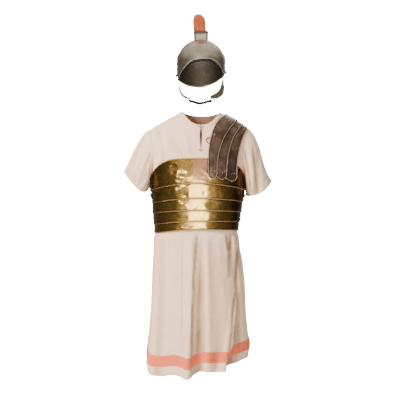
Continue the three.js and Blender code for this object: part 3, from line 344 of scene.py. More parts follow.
def sweep(path, radius, sides=10, closed=False, flat=1.0, up=(0, 0, 1)):
    """A tube along a line of points, with round ends. Flat is its thickness as a share of its width."""
    path = np.asarray(path, float)
    radius = np.broadcast_to(np.asarray(radius, float), len(path))
    along = np.roll(path, -1, 0) - np.roll(path, 1, 0)
    if not closed:
        along[0], along[-1] = path[1] - path[0], path[-1] - path[-2]
    along = unit(along)
    side = unit(np.cross(along, np.broadcast_to(np.asarray(up, float), path.shape)))
    across = unit(np.cross(side, along))
    angle = np.linspace(0, 2 * math.pi, sides, endpoint=False)[:, None]
    ring = side[:, None] * np.cos(angle) + across[:, None] * flat * np.sin(angle)
    rings = path[:, None] + ring * radius[:, None, None]
    if not closed:
        tips = along[[0, -1]] * radius[[0, -1], None] * 0.6
        return closed_tube(rings, path[0] - tips[0], path[-1] + tips[1])
    number = np.arange(len(path) * sides).reshape(-1, sides)
    return rings.reshape(-1, 3), tube_faces(np.concatenate([number, number[:1]]))


def line_through(places, count):
    """A smooth line of points through a few places."""
    places = np.asarray(places, float)
    padded = np.concatenate([2 * places[:1] - places[1:2], places, 2 * places[-1:] - places[-2:-1]])
    spans = len(places) - 1
    at = np.linspace(0, spans, count)
    i = np.minimum(at.astype(int), spans - 1)
    t = (at - i)[:, None]
    a, b, c, d = (padded[i + k] for k in range(4))
    return 0.5 * (
        2 * b + (c - a) * t + (2 * a - 5 * b + 4 * c - d) * t**2 + (3 * b - a - 3 * c + d) * t**3
    )


def joined(*shapes):
    """Several closed shapes as one."""
    starts = np.cumsum([0] + [len(points) for points, _ in shapes]).tolist()
    faces = []
    for (_, cells), start in zip(shapes, starts):
        faces += [[number + start for number in cell] for cell in cells]
    return np.concatenate([points for points, _ in shapes]), faces


def facing_out(points, faces):
    """Turns all faces round if together they hold a negative volume."""
    total = 0.0
    for corners in {len(cell) for cell in faces}:
        p = points[np.array([cell for cell in faces if len(cell) == corners])]
        for k in range(1, corners - 1):
            total += (p[:, 0] * np.cross(p[:, k], p[:, k + 1])).sum()
    return faces if total > 0 else [cell[::-1] for cell in faces]


def grid_normals(grid, middle):
    """The unit normals of a grid of points, turned away from a middle point."""
    normal = unit(np.cross(np.gradient(grid, axis=1), np.gradient(grid, axis=0)))
    return np.where(dot(normal, grid - np.array(middle, float)) < 0, -normal, normal)


def lengths_on(grid):
    """Distances across and up a grid of points, from its middle column and its first row."""
    across = np.linalg.norm(np.diff(grid, axis=1), axis=-1)
    u = np.concatenate([np.zeros((len(grid), 1)), np.cumsum(across, 1)], 1)
    u -= u[:, grid.shape[1] // 2][:, None]
    up = np.linalg.norm(np.diff(grid, axis=0), axis=-1)
    v = np.concatenate([np.zeros((1, grid.shape[1])), np.cumsum(up, 0)], 0)
    return np.stack([u, v], -1)


def filled(values, count):
    """As many values as there are points. A wall's inside has the values of its outside."""
    flat = np.asarray(values, np.float32).ravel()
    return np.tile(flat, count // len(flat))


def put_on_body(made, nodes):
    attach(made, "root")
    if nodes:
        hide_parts(*nodes)
    return made


def piece(name, shape, material, slot, nodes=(), cloth=None, inside=False, **values):
    """An object from points in millimetres and faces, which may stand for nodes of the frame.

    Cloth says where each point lies on the flat cloth. Inside marks the inner side of a wall for its
    material, and the values are other numbers at each point that the material reads.
    """
    points, faces = shape
    faces = facing_out(points, faces if isinstance(faces, list) else faces.tolist())
    mesh = bpy.data.meshes.new(name)
    mesh.from_pydata(points * MM, [], faces)
    if cloth is not None:
        corner = np.empty(len(mesh.loops), int)
        mesh.loops.foreach_get("vertex_index", corner)
        flat = filled(cloth * MM, 2 * len(points)).reshape(-1, 2)
        mesh.uv_layers.new(name="cloth").data.foreach_set("uv", flat[corner].ravel())
    if inside:
        values["inside"] = np.arange(len(points)) >= len(points) // 2
    for key, value in values.items():
        data = mesh.attributes.new(key, "FLOAT", "POINT").data
        data.foreach_set("value", filled(value, len(points)))
    mesh.validate()
    mesh.shade_smooth()
    mesh.set_sharp_from_angle(angle=math.radians(SHARP))
    mesh.materials.append(material)
    made = bpy.data.objects.new(name, mesh)
    bpy.context.scene.collection.objects.link(made)
    return put_on_body(made, nodes)


# Camera

camera_data = bpy.data.cameras.new("camera")
camera_data.lens = FOCAL
camera_data.sensor_width = 36.0
camera_data.dof.use_dof = False
camera = bpy.data.objects.new("camera", camera_data)
camera.location = (VIEW_X * MM, -VIEW_DISTANCE * MM, VIEW_Z * MM)
camera.rotation_euler = (math.radians(90), 0, 0)
bpy.context.scene.collection.objects.link(camera)
bpy.context.scene.camera = camera


# Nodes. A tone is a colour as three numbers from 0 to 1.


def connect(tree, socket, value):
    """Gives a socket a plain value or another node's output."""
    value = getattr(value, "socket", value)
    if isinstance(value, bpy.types.NodeSocket):
        tree.links.new(value, socket)
    else:
        socket.default_value = value


def add_node(tree, kind, inputs=None, **settings):
    made = tree.nodes.new(kind)
    for key, value in settings.items():
        setattr(made, key, value)
    for key, value in (inputs or {}).items():
        connect(tree, made.inputs[key], value)
    return made


def new_tree(kind, name, inputs, outputs):
    """A group with named inputs, each with its kind and first value, and named outputs with their kinds."""
    tree = bpy.data.node_groups.new(name, kind)
    for key, (form, value) in inputs.items():
        socket = tree.interface.new_socket(key, in_out="INPUT", socket_type="NodeSocket" + form)
        if value is not None:
            socket.default_value = value
    for key, form in outputs.items():
        tree.interface.new_socket(key, in_out="OUTPUT", socket_type="NodeSocket" + form)
    return tree, tree.nodes.new("NodeGroupInput"), tree.nodes.new("NodeGroupOutput")


class Value:
    """A node's output in a shader tree. Arithmetic with it adds the nodes that work out the result."""

    def __init__(self, tree, socket):
        self.tree, self.socket = tree, socket

    def maths(self, operation, first, second=0.0):
        made = add_node(self.tree, "ShaderNodeMath", {0: first, 1: second}, operation=operation)
        return Value(self.tree, made.outputs[0])

    def __add__(self, other):
        return self.maths("ADD", self, other)

    def __sub__(self, other):
        return self.maths("SUBTRACT", self, other)

    def __rsub__(self, other):
        return self.maths("SUBTRACT", other, self)

    def __mul__(self, other):
        return self.maths("MULTIPLY", self, other)

    def __truediv__(self, other):
        return self.maths("DIVIDE", self, other)

    def __abs__(self):
        return self.maths("ABSOLUTE", self)

    def span(self, low, high, to_low=0.0, to_high=1.0):
        """The value taken from one range to another, with a soft start and end."""
        inputs = {0: self, 1: low, 2: high, 3: to_low, 4: to_high}
        made = add_node(self.tree, "ShaderNodeMapRange", inputs, interpolation_type="SMOOTHSTEP")
        return Value(self.tree, made.outputs[0])


class Look:
    """A shader tree in the making."""

    def __init__(self, tree):
        self.tree = tree

    def get(self, kind, inputs=None, output=0, **settings):
        return Value(self.tree, add_node(self.tree, kind, inputs, **settings).outputs[output])

    def xyz(self, place):
        made = add_node(self.tree, "ShaderNodeSeparateXYZ", {0: place})
        return [Value(self.tree, socket) for socket in made.outputs]

    def noise(self, place, scale, detail, rough, stretch=None):
        if stretch:
            place = self.get("ShaderNodeVectorMath", {0: place, 1: stretch}, operation="MULTIPLY")
        inputs = {"Vector": place, "Scale": scale, "Detail": detail, "Roughness": rough}
        return self.get("ShaderNodeTexNoise", inputs, "Fac")

    def attribute(self, name):
        """A value that the mesh has at each point."""
        return self.get("ShaderNodeAttribute", output="Fac", attribute_name=name)

    def use(self, group, **inputs):
        made = add_node(self.tree, "ShaderNodeGroup", inputs, node_tree=group)
        return [Value(self.tree, socket) for socket in made.outputs]

    def layered(self, colour, *layers):
        """A tone or a value with tones or values over it, each with its share and how it is blended."""
        for share, over, *kind in layers:
            a, b = (tone if isinstance(tone, Value) else (*tone, 1.0) for tone in (colour, over))
            settings = {"data_type": "RGBA", "blend_type": kind[0] if kind else "MIX"}
            colour = self.get("ShaderNodeMix", {0: share, 6: a, 7: b}, 2, **settings)
        return colour


def shader_group(name, inputs, outputs, make):
    """A shader group. Make is the function that works out its outputs from its inputs."""
    tree, come, go = new_tree("ShaderNodeTree", name, inputs, dict.fromkeys(outputs, "Float"))
    given = [Value(tree, come.outputs[key]) for key in inputs]
    for key, value in zip(outputs, make(Look(tree), *given)):
        connect(tree, go.inputs[key], value)
    return tree


def plain_weave(look, cloth, thread, slub):
    """Threads over and under one another, with thicker places along them."""
    turns = [share / thread * math.pi for share in look.xyz(cloth)[:2]]
    warp, weft = (turn.maths("SINE", turn) for turn in turns)
    long = look.noise(cloth, 420.0, 2.0, 0.6, (1.0, 0.06, 1.0))
    thick = (long + look.noise(cloth, 420.0, 2.0, 0.6, (0.06, 1.0, 1.0))) * 0.5
    return warp * weft * 0.35 + 0.5 + thick * slub, thick


def mottle(look, place, scale):
    """Broad soft patches, and finer ones."""
    return (
        look.noise(place, scale, 2.0, 0.5).span(0.32, 0.68),
        look.noise(place, scale * 9.0, 4.0, 0.65).span(0.28, 0.72),
    )


def edge_wear(look, place, edge, broken):
    """A mask of rubbed metal: a mesh value that is 1 on a worn edge, broken up by noise."""
    lost = (1.0 - look.noise(place, 160.0, 4.0, 0.7)) * broken
    return [(edge - lost).span(0.1, 0.55)]


def scratches(look, place, scale):
    """Fine scratches round a metal plate, as a height and as a change of roughness."""
    long = look.noise(place, scale, 5.0, 0.7, (0.25, 0.25, 2.5))
    both = (long + look.noise(place, scale, 4.0, 0.7, (2.2, 2.2, 0.4))) * 0.5
    return both, both.span(0.36, 0.64)


PLACE = {"Place": ("Vector", None)}
WEAVE = shader_group(
    "plain weave", {"Cloth": ("Vector", None), "Thread": ("Float", 0.001), "Slub": ("Float", 0.5)},
    ("Height", "Shade"), plain_weave,
)
MOTTLE = shader_group("mottle", {**PLACE, "Scale": ("Float", 10.0)}, ("Patch", "Grain"), mottle)
WEAR = shader_group(
    "edge wear", {**PLACE, "Edge": ("Float", 0.0), "Break": ("Float", 0.4)}, ("Rubbed",), edge_wear
)
SCRATCH = shader_group("scratches", {**PLACE, "Scale": ("Float", 60.0)}, ("Height", "Dull"), scratches)


class Material(Look):
    """A material in the making, with the place on the object that its patterns are drawn from."""

    def __init__(self, name):
        self.made = bpy.data.materials.new(name)
        self.made.use_nodes = True
        super().__init__(self.made.node_tree)
        self.tree.nodes.clear()
        self.shader = self.tree.nodes.new("ShaderNodeBsdfPrincipled")
        add_node(self.tree, "ShaderNodeOutputMaterial", {0: self.shader.outputs[0]})
        self.place = self.get("ShaderNodeTexCoord", output="Object")

    def mottle(self, scale):
        return self.use(MOTTLE, Place=self.place, Scale=scale)

    def rubbed(self, broken):
        return self.use(WEAR, Place=self.place, Edge=self.attribute("edge"), Break=broken)[0]

    def finish(self, colour, rough, *bumps, **others):
        """Sets the shader. A bump is a height and its depth in metres, over the bumps before it."""
        inputs = {"Base Color": colour, "Roughness": rough, **others}
        for height, depth in bumps:
            lower = {"Normal": inputs["Normal"]} if "Normal" in inputs else {}
            bump = {"Height": height, "Distance": depth, "Strength": 1.0, **lower}
            inputs["Normal"] = self.get("ShaderNodeBump", bump)
        for key, value in inputs.items():
            connect(self.tree, self.shader.inputs[key], value)
        return self.made


# How much darker the painted shade makes folds, creases and insides, and where the helmet's middle is in
# metres
FOLD_SHADE = (0.46, 0.40, 0.36)
CLOTH_INSIDE_SHADE = (0.42, 0.34, 0.30)
METAL_INSIDE_SHADE = (0.25, 0.23, 0.21)
HELMET_X = 0.0084


def woven_material(name, light, dark, thread, slub, sheen, stain, crinkle):
    look = Material(name)
    cloth = look.get("ShaderNodeUVMap", uv_map="cloth")
    height, shade = look.use(WEAVE, Cloth=cloth, Thread=thread, Slub=slub)
    streak = look.noise(cloth, 55.0, 3.0, 0.6, (1.0, 0.05, 1.0))
    colour = look.layered(
        dark, (shade.span(0.3, 0.7), light), (look.mottle(6.0)[0] * 0.45, stain, "MULTIPLY"),
        (streak.span(0.45, 0.75, 0.0, 0.3), stain, "MULTIPLY"),
        # Painted shade in folds and creases, and on the cloth's inside
        (look.attribute("hollow"), FOLD_SHADE, "MULTIPLY"),
        (look.attribute("inside"), CLOTH_INSIDE_SHADE, "MULTIPLY"),
    )
    creased = look.noise(look.place, 45.0, 3.0, 0.55)
    soft = {"Sheen Weight": sheen, "Sheen Roughness": 0.5, "Specular IOR Level": 0.25}
    rough = shade.span(0.2, 0.8, 0.92, 0.78)
    return look.finish(colour, rough, (creased, crinkle), (height, 0.00025), **soft)


tunic_cloth = woven_material(
    "tunic cloth", (0.94, 0.68, 0.49), (0.84, 0.585, 0.405), 0.0011, 0.9, 0.15, (0.93, 0.84, 0.75), 0.0024
)
ribbon_cloth = woven_material(
    "salmon ribbon", (0.86, 0.19, 0.095), (0.72, 0.145, 0.07), 0.0008, 0.6, 0.1, (0.90, 0.82, 0.78), 0.0012
)


def thread_material(name, light, dark):
    look = Material(name)
    twist = look.noise(look.place, 900.0, 2.0, 0.5, (1.0, 1.0, 0.4))
    colour = look.layered(dark, (twist.span(0.3, 0.7), light))
    return look.finish(colour, twist.span(0.2, 0.8, 0.9, 0.7), (twist, 0.0004))


tie_thread = thread_material("tie thread", (0.05, 0.03, 0.022), (0.025, 0.015, 0.012))
seam_thread = thread_material("seam thread", (0.86, 0.74, 0.62), (0.66, 0.52, 0.42))


def brass_material():
    """Polished brass that is bright round the middle of the chest. Its sides are painted darker brown and
    its far sides near black, as painted dark reflection; the chest has a painted pink reflection, and
    painted shadow lies under the plate overlaps.
    """
    look = Material("polished brass")
    x, y, z = look.xyz(look.place)
    patch, grain = look.mottle(16.0)
    height, dull = look.use(SCRATCH, Place=look.place, Scale=90.0)
    rubbed = look.rubbed(0.35)
    from_middle = abs(x + 0.022)
    # Painted dark reflection: browner away from the middle of the chest
    aside = (from_middle + patch * -0.02).span(0.045, 0.175)
    # A painted pink reflection on the chest plate
    painted_pink_reflection = abs(x - 0.006).span(0.045, 0.020) * z.span(-0.300, -0.285)
    colour = look.layered(
        (0.95, 0.60, 0.17), (aside, (0.19, 0.10, 0.034)),
        # Painted dark reflection: near black at the far sides
        (from_middle.span(0.145, 0.178, 0.0, 0.85), (0.045, 0.028, 0.016)),
        (grain * 0.28, (0.52, 0.34, 0.18), "MULTIPLY"), (painted_pink_reflection * 0.75, (0.80, 0.40, 0.25)),
        # The dark tone on the plates' shade mask is painted shadow under the overlaps and beside the rolled
        # edges
        (look.attribute("hollow") * 0.92, (0.07, 0.04, 0.018)), (rubbed * 0.85, (0.55, 0.34, 0.17)),
    )
    rough = dull.span(0.0, 1.0, 0.10, 0.18) + aside * 0.16 + rubbed * 0.3
    beaten = look.noise(look.place, 15.0, 1.0, 0.4)
    return look.finish(colour, rough, (beaten, 0.0020), (height, 0.00004), Metallic=1.0)


def plate_metal(name, light, dark, rub, rough, wear, beat=0.0016, sides=None):
    """Worn metal. Sides is where it is painted darker away from the costume's middle, as painted shade and
    dark reflection on the sides, and to what tone.
    """
    look = Material(name)
    patch, grain = look.mottle(22.0)
    height, dull = look.use(SCRATCH, Place=look.place, Scale=110.0)
    rubbed = look.rubbed(wear)
    hollow = look.attribute("hollow")
    layers = [(patch, light), (grain * 0.4, dark)]
    if sides:
        # Painted shade and dark reflection towards the sides
        away = abs(look.xyz(look.place)[0] - HELMET_X)
        layers.append((away.span(sides[0], sides[1], 0.0, 0.8), sides[2]))
    # Painted shade in grooves, along edges and on insides darkens and dulls the metal
    colour = look.layered(
        dark, *layers, (hollow * 0.8, [0.25 * v for v in dark]), (rubbed, rub),
        (look.attribute("inside"), METAL_INSIDE_SHADE, "MULTIPLY"),
    )
    dull = dull.span(0.0, 1.0, rough, rough + 0.16) + rubbed * 0.15 + hollow * 0.3
    beaten = look.noise(look.place, 40.0, 2.0, 0.5)
    return look.finish(colour, dull, (beaten, beat), (height, 0.00015), Metallic=1.0)


def crest_iron_material():
    """Beige iron sheet with painted shade: dark along its corners, for its side plates in shade, and along
    its open top.
    """
    look = Material("beige crest iron")
    x, y, z = look.xyz(look.place)
    patch, grain = look.mottle(22.0)
    height, dull = look.use(SCRATCH, Place=look.place, Scale=110.0)
    # Painted shade at the box's corners, for its side plates, and along its open top
    corner = abs(x - HELMET_X).span(0.0205, 0.0235)
    rim = y.span(-0.066, -0.070) * z.span(0.3125, 0.3155)
    colour = look.layered(
        (0.36, 0.285, 0.21), (patch, (0.50, 0.41, 0.31)), (grain * 0.4, (0.30, 0.24, 0.18)),
        (corner.maths("MAXIMUM", corner, rim) * 0.88, (0.05, 0.042, 0.035)),
    )
    rough = dull.span(0.0, 1.0, 0.42, 0.6)
    return look.finish(colour, rough, (patch, 0.0008), (height, 0.00012), Metallic=0.8)


brass = brass_material()
bronze = plate_metal(
    "brown bronze", (0.30, 0.20, 0.15), (0.13, 0.08, 0.06), (0.78, 0.60, 0.47), 0.36, 0.2, 0.0014
)
stud_metal = plate_metal(
    "bright stud", (0.80, 0.60, 0.42), (0.52, 0.36, 0.22), (0.95, 0.80, 0.62), 0.18, 0.3
)
# The iron is painted darker away from the helmet's middle: painted shade on the helmet's sides
iron = plate_metal(
    "worn pewter grey iron", (0.84, 0.76, 0.62), (0.58, 0.51, 0.40), (0.80, 0.74, 0.62), 0.28, 0.35, 0.0012,
    (0.045, 0.10, (0.16, 0.135, 0.095)),
)
crest_iron = crest_iron_material()
dark_knob = plate_metal(
    "dark ear knob", (0.13, 0.095, 0.07), (0.05, 0.036, 0.028), (0.34, 0.27, 0.21), 0.34, 0.5
)
brass_small = plate_metal(
    "brass fittings", (0.72, 0.50, 0.18), (0.30, 0.20, 0.07), (0.9, 0.7, 0.4), 0.25, 0.4
)
bronze_wire = plate_metal(
    "dark bronze wire", (0.12, 0.07, 0.05), (0.05, 0.03, 0.022), (0.3, 0.2, 0.14), 0.3, 0.5
)


def leather_material(name, light, dark, worn):
    look = Material(name)
    cell = {"Vector": look.place, "Scale": 700.0}
    grain = look.get("ShaderNodeTexVoronoi", cell, feature="DISTANCE_TO_EDGE").span(0.0, 0.25)
    patch, fine_grain = look.mottle(30.0)
    colour = look.layered(
        dark, (patch, light), (grain.span(0.0, 1.0, 0.35, 0.0), [0.3 * v for v in dark]),
        (look.rubbed(0.5), worn),
    )
    rough = fine_grain.span(0.0, 1.0, 0.5, 0.72)
    return look.finish(colour, rough, (grain, 0.0003), (fine_grain, 0.0004))


black_leather = leather_material(
    "black leather", (0.016, 0.014, 0.014), (0.008, 0.007, 0.007), (0.05, 0.045, 0.04)
)
brown_leather = leather_material(
    "brown leather", (0.17, 0.085, 0.045), (0.075, 0.038, 0.02), (0.34, 0.2, 0.12)
)


def bristle_material():
    look = Material("dyed bristle")
    shade = look.attribute("shade")
    dusty = look.noise(look.place, 60.0, 3.0, 0.6)
    colour = look.layered(
        (0.74, 0.16, 0.055), (shade, (1.0, 0.34, 0.15)),
        (dusty.span(0.45, 0.7, 0.0, 0.35), (0.88, 0.36, 0.22)),
        # Painted shade: the plume's outer rows are painted darker, as its sides in shade
        (look.attribute("edge") * 0.6, (0.38, 0.26, 0.16)),
    )
    rough = shade.span(0.0, 1.0, 0.75, 0.55)
    return look.finish(colour, rough, (look.noise(look.place, 1500.0, 2.0, 0.5), 0.0002))


bristle = bristle_material()


# Floor, light and studio


def make_floor():
    look = Material("pale floor")
    tone = look.noise(look.place, 3.0, 4.0, 0.5)
    turn = np.linspace(0, 2 * math.pi, 96, endpoint=False)
    rim = vec(FLOOR_RADIUS * np.cos(turn), FLOOR_RADIUS * np.sin(turn), FLOOR_Z)
    mesh = bpy.data.meshes.new("floor")
    mesh.from_pydata(rim * MM, [], [list(range(len(turn)))])
    mesh.materials.append(look.finish(look.layered((0.86, 0.86, 0.86), (tone, (0.90, 0.90, 0.90))), 0.9))
    floor = bpy.data.objects.new("floor", mesh)
    bpy.context.scene.collection.objects.link(floor)


make_floor()

LIGHTS = (
    # name, place in metres, size, power, colour, whether the metal mirrors it
    ("key", (-1.25, -3.0, 0.12), (0.5, 0.6), 7.5, (1.0, 0.92, 0.72), True),
    ("soft key", (-2.6, -2.3, 1.6), (1.4, 1.8), 400.0, (1.0, 0.94, 0.86), False),
    ("fill", (2.6, -2.4, 0.2), (1.2, 2.0), 24.0, (1.0, 0.97, 0.93), False),
    ("back", (0.6, 2.6, 1.6), (2.0, 2.0), 60.0, (1.0, 1.0, 1.0), True),
)
LIGHT_AIM = (0.0, 0.0, -0.35)


def make_lights():
    for name, place, size, power, colour, mirrored in LIGHTS:
        data = bpy.data.lights.new(name, "AREA")
        data.shape = "RECTANGLE"
        data.size, data.size_y = size
        data.energy = power
        data.color = colour
        light = bpy.data.objects.new(name, data)
        light.location = place
        light.visible_glossy = mirrored
        aim = Vector(LIGHT_AIM) - Vector(place)
        light.rotation_euler = aim.to_track_quat("-Z", "Y").to_euler()
        bpy.context.scene.collection.objects.link(light)


make_lights()

BACKDROP = 24.0


def make_world():
    """White behind the costume for the camera, and for everything else a studio with dark sides."""
    world = bpy.data.worlds.new("studio")
    world.use_nodes = True
    look = Look(world.node_tree)
    look.tree.nodes.clear()
    x, y, z = look.xyz(look.get("ShaderNodeTexCoord", output="Generated"))
    ahead = y.span(-0.5, -0.8)
    glow = ahead * abs(x - 0.01).span(0.26, 0.10) * z.span(0.11, 0.04) * 5.4
    golden = abs(x + 0.02).span(0.62, 0.22) * y.span(-0.3, -0.6) * z.span(0.5, 0.2) * 0.42
    rosy = ahead * abs(x - 0.04).span(0.20, 0.12) * z.span(0.07, 0.13) * z.span(0.62, 0.45) * 0.42
    above = z.span(0.1, 0.9, 0.05, 0.75)
    behind = y.span(0.2, 0.9, 0.0, 0.3)
    light = glow + golden + rosy + above + behind + 0.07
    room = look.get("ShaderNodeBackground", {"Color": (1.0, 0.95, 0.84, 1.0), "Strength": light})
    white = look.get("ShaderNodeBackground", {"Color": (1.0, 1.0, 1.0, 1.0), "Strength": BACKDROP})
    seen = look.get("ShaderNodeLightPath", output="Is Camera Ray")
    both = look.get("ShaderNodeMixShader", {0: seen, 1: room, 2: white})
    add_node(look.tree, "ShaderNodeOutputWorld", {0: both})
    bpy.context.scene.world = world


make_world()


# The tunic


def neckline(share, face, grow=0.0):
    half = NECK_HALF + grow
    x = NECK_CENTRE + half * share
    level = mix(shoulder_height(NECK_CENTRE - half), shoulder_height(NECK_CENTRE + half), (share + 1) / 2)
    power = 2.35 if face == "front" else 2.0
    inside = 1 - np.abs(share)
    return x, level - (NECK_DROP[face] + grow * inside) * (1 - np.abs(share) ** power)


def top_edge(u, face):
    """The place across and the height of a panel's upper edge: shoulder seam, neckline, shoulder seam."""
    shoulder = SHOULDER_SHARE[face]
    from_end = np.minimum(u, 1 - u)
    side = np.where(u < 0.5, -1.0, 1.0)
    x_seam = mix(side * SHOULDER_TIP, NECK_CENTRE + side * NECK_HALF, np.clip(from_end / shoulder, 0, 1))
    share = np.clip(mix(-1, 1, (u - shoulder) / (1 - 2 * shoulder)), -1, 1)
    x_neck, z_neck = neckline(share, face)
    on_seam = from_end <= shoulder
    return np.where(on_seam, x_seam, x_neck), np.where(on_seam, shoulder_height(x_seam), z_neck)


SLIT = table(
    "z half", (-40, 1.2), (-70, 1.0), (-84, 2.8), (-103, 5.0), (-125, 3.4), (-150, 1.8), (-168, 0.0)
)
SLIT_FOOT = -168.0
# Creases pressed into the cloth, seen from the front: two ends and how far the middle bows to the side
FRONT_CREASES = table(
    "x0 z0 x1 z1 bow width depth",
    (113, -503, 124, -580, 2, 6, -5.5),
    (134, -503, 125, -580, -2, 5, -4.0),
    (125, -575, 129, -690, 1, 7, -4.5),
    (139, -503, 141, -640, -3, 7, 2.5),
    (168, -560, 158, -700, 3, 9, -2.5),
    (166, -560, 154, -760, 3, 8, -6.0),
    (154, -745, 136, -890, 4, 9, -7.5),
    (139, -875, 118, -1060, 2, 9, -8.0),
    (-4, -496, -9, -590, 1, 6, -5.0),
    (-8, -575, -20, -760, 3, 6, -5.5),
    (-20, -745, -27, -1070, 2, 6, -6.5),
    (8, -640, 0, -980, 2, 9, -3.0),
    (-52, -820, -38, -1070, 2, 7, 3.5),
    (5, -560, 0, -900, 3, 12, 2.2),
    (44, -520, 48, -1000, -4, 13, -1.8),
    (76, -540, 82, -1010, 4, 14, 1.8),
    (-104, -540, -112, -1010, 3, 14, 1.5),
    (-66, -504, -67.5, -1080, 0, 2.4, -2.4),
    (-72, -504, -73.5, -1080, 0, 4, 1.4),
    (-120, -110, -60, -185, 6, 12, -1.8),
    (-60, -95, -40, -180, -5, 9, 1.6),
    (-28, -110, -30, -190, 4, 7, -1.4),
    (-176, -70, -150, -230, -12, 10, -3.0),
    (-196, -120, -168, -262, -8, 7, 3.0),
    (-160, -90, -110, -220, 8, 14, 1.8),
    (-8, -160, -40, -178, 2, 4, -1.2),
    (20, -160, 40, -172, -2, 4, -1.2),
)
BACK_CREASES = table(
    "x0 z0 x1 z1 bow width depth",
    (-130, -510, -138, -860, 4, 8, -3.5),
    (-60, -510, -66, -1000, -4, 9, -3.5),
    (4, -510, 2, -1040, 3, 8, -4.0),
    (70, -510, 78, -980, 5, 9, -3.0),
    (128, -510, 142, -900, -4, 8, -3.5),
    (-150, -60, -120, -190, 8, 12, -2.5),
    (-60, -40, -20, -170, -8, 12, 2.0),
    (60, -150, 20, -195, 6, 9, -1.5),
)


def creased(points, rows):
    """How far the creases of a table move points that are seen from the front or from behind."""
    flat = points[..., [0, 2]]
    total = np.zeros(flat.shape[:-1])
    for row in each(rows):
        start, end = np.array([row["x0"], row["z0"]]), np.array([row["x1"], row["z1"]])
        way = end - start
        aside = unit(np.array([way[1], -way[0]])) * row["bow"]
        t = np.clip((flat - start) @ way / (way @ way), 0, 1)
        line = start + t[..., None] * way + aside * (4 * t * (1 - t))[..., None]
        away = np.linalg.norm(flat - line, axis=-1)
        taper = np.sqrt(np.clip(np.minimum(t, 1 - t) / 0.2, 0, 1))
        total += row["depth"] * taper * hump(away, 0, row["width"])
    return total


# Heights where the plates and the lames end
CUIRASS_MIDDLE = -400
BELOW_CUIRASS = (-502, -522)
LAMES_FOOT = -320


def free_cloth(points, turn):
    """1 where the cloth is free and 0 where plates or lames lie close over it."""
    x, z = points[..., 0], points[..., 2]
    phi = np.degrees(np.arccos(np.clip(np.abs(x) / 190, 0, 1)))
    above = smooth(-1, 12, z - (curve(CHEST_TOP, "phi", "z", phi) + 4))
    free = np.where(z < CUIRASS_MIDDLE, smooth(*BELOW_CUIRASS, z), above)
    lames = smooth(-10, 4, x - edge_at("edge0", turn) + 6) * smooth(12, 0, x - edge_at("edge3", turn))
    return free * (1 - lames * (z > LAMES_FOOT))


# How far rows of points lie above the hem: those under the ribbon, and the others up to the waist
RIBBON_RISES = np.linspace(0, HEM_MARGIN + HEM_RIBBON, fine(16))
SKIRT_RISES = np.concatenate([RIBBON_RISES, np.linspace(85, 520, fine(95))])


def panel(face, columns):
    """A front or back panel: the grid of its points, its normals and how much painted shade each place gets
    in its folds and creases.
    """
    front = face == "front"
    u = np.linspace(0, 1, columns)
    phi = 180 * u if front else 360 - 180 * u
    share = (SKIRT_RISES / (SKIRT_TOP - NOMINAL_HEM))[:, None]
    heights = mix(curve(HEM, "phi", "z", phi), SKIRT_TOP, share)
    levels = np.tile(np.linspace(SKIRT_TOP + 5, UNDERARM, fine(46))[:, None], columns)
    z = np.concatenate([heights, levels])
    v = ((1 - np.cos(np.linspace(0, math.pi, fine(64))[1:])) / 2)[:, None]
    foot = form_point(phi, np.full_like(phi, UNDERARM))
    x_top, z_top = top_edge(u, face)
    x = mix(foot[:, 0], x_top, v) + ARMHOLE_PULL * np.sin(math.pi * v) * (1 - 2 * u) ** 3
    height = mix(UNDERARM, z_top, v)
    if front:
        x = x + (NECK_CENTRE - x[:, [columns // 2]]) * hump(u, 0.5, 0.07) * smooth(-235, -190, height)
    turn = turn_at(x, height, face)
    points = np.concatenate([skirt_point(phi, z), shoulder_point(x, turn)])
    normals = np.concatenate([skirt_normal(phi, z), shoulder_normal(x, turn)])
    free = free_cloth(points, np.concatenate([np.full(z.shape, -10.0 if front else 190.0), turn]))
    pressed = creased(points, FRONT_CREASES if front else BACK_CREASES)
    seed = 3 if front else 11
    waves = uneven(points, (1.6, 70, seed), (0.8, 26, seed + 1), (0.35, 11, seed + 2))
    waves = waves * (0.55 + 0.6 * smooth(-520, -620, points[..., 2]))
    move = (pressed + waves) * free * smooth(0, 0.04, np.minimum(u, 1 - u))
    # deep is painted shade: creases and fold valleys are painted darker
    deep = np.clip(-pressed * free / 7, 0, 1)
    folds = fold_depth(np.broadcast_to(phi, z.shape), z)
    deep[: len(z)] = np.clip(deep[: len(z)] + np.clip(-folds / 13, 0, 0.62), 0, 1)
    apart = vec(0, -0.02 if front else 0.02, 0)
    return points + normals * move[..., None] + apart, normals, deep


def open_slit(points, normals, deep):
    """Parts the front panel along its middle column above the slit's foot."""
    middle = points.shape[1] // 2
    z = points[:, middle, 2]
    half = np.where(z > SLIT_FOOT, curve(SLIT, "z", "half", z), 0.0)
    near = np.exp(-np.abs(points[..., 0] - NECK_CENTRE) / 9)
    side = np.where(np.arange(points.shape[1]) < middle, -1.0, 1.0)
    points = points + vec((side * near) * half[:, None], 0, 0)
    left = points[:, middle].copy()
    left[:, 0] -= 2 * half
    points = np.insert(points, middle, left, axis=1)
    away = np.abs(points[..., 0] - NECK_CENTRE)
    edge = np.exp(-away / 5) * (half > 0)[:, None]
    points[..., 1] -= edge * 1.2
    normals = np.insert(normals, middle, normals[:, middle], axis=1)
    deep = np.insert(deep, middle, deep[:, middle], axis=1)
    # Painted shade along the slit's opening
    deep = np.maximum(deep, edge * smooth(6, 2.5, away - half[:, None]))
    return points, normals, deep, middle, int(np.argmax(z > SLIT_FOOT))


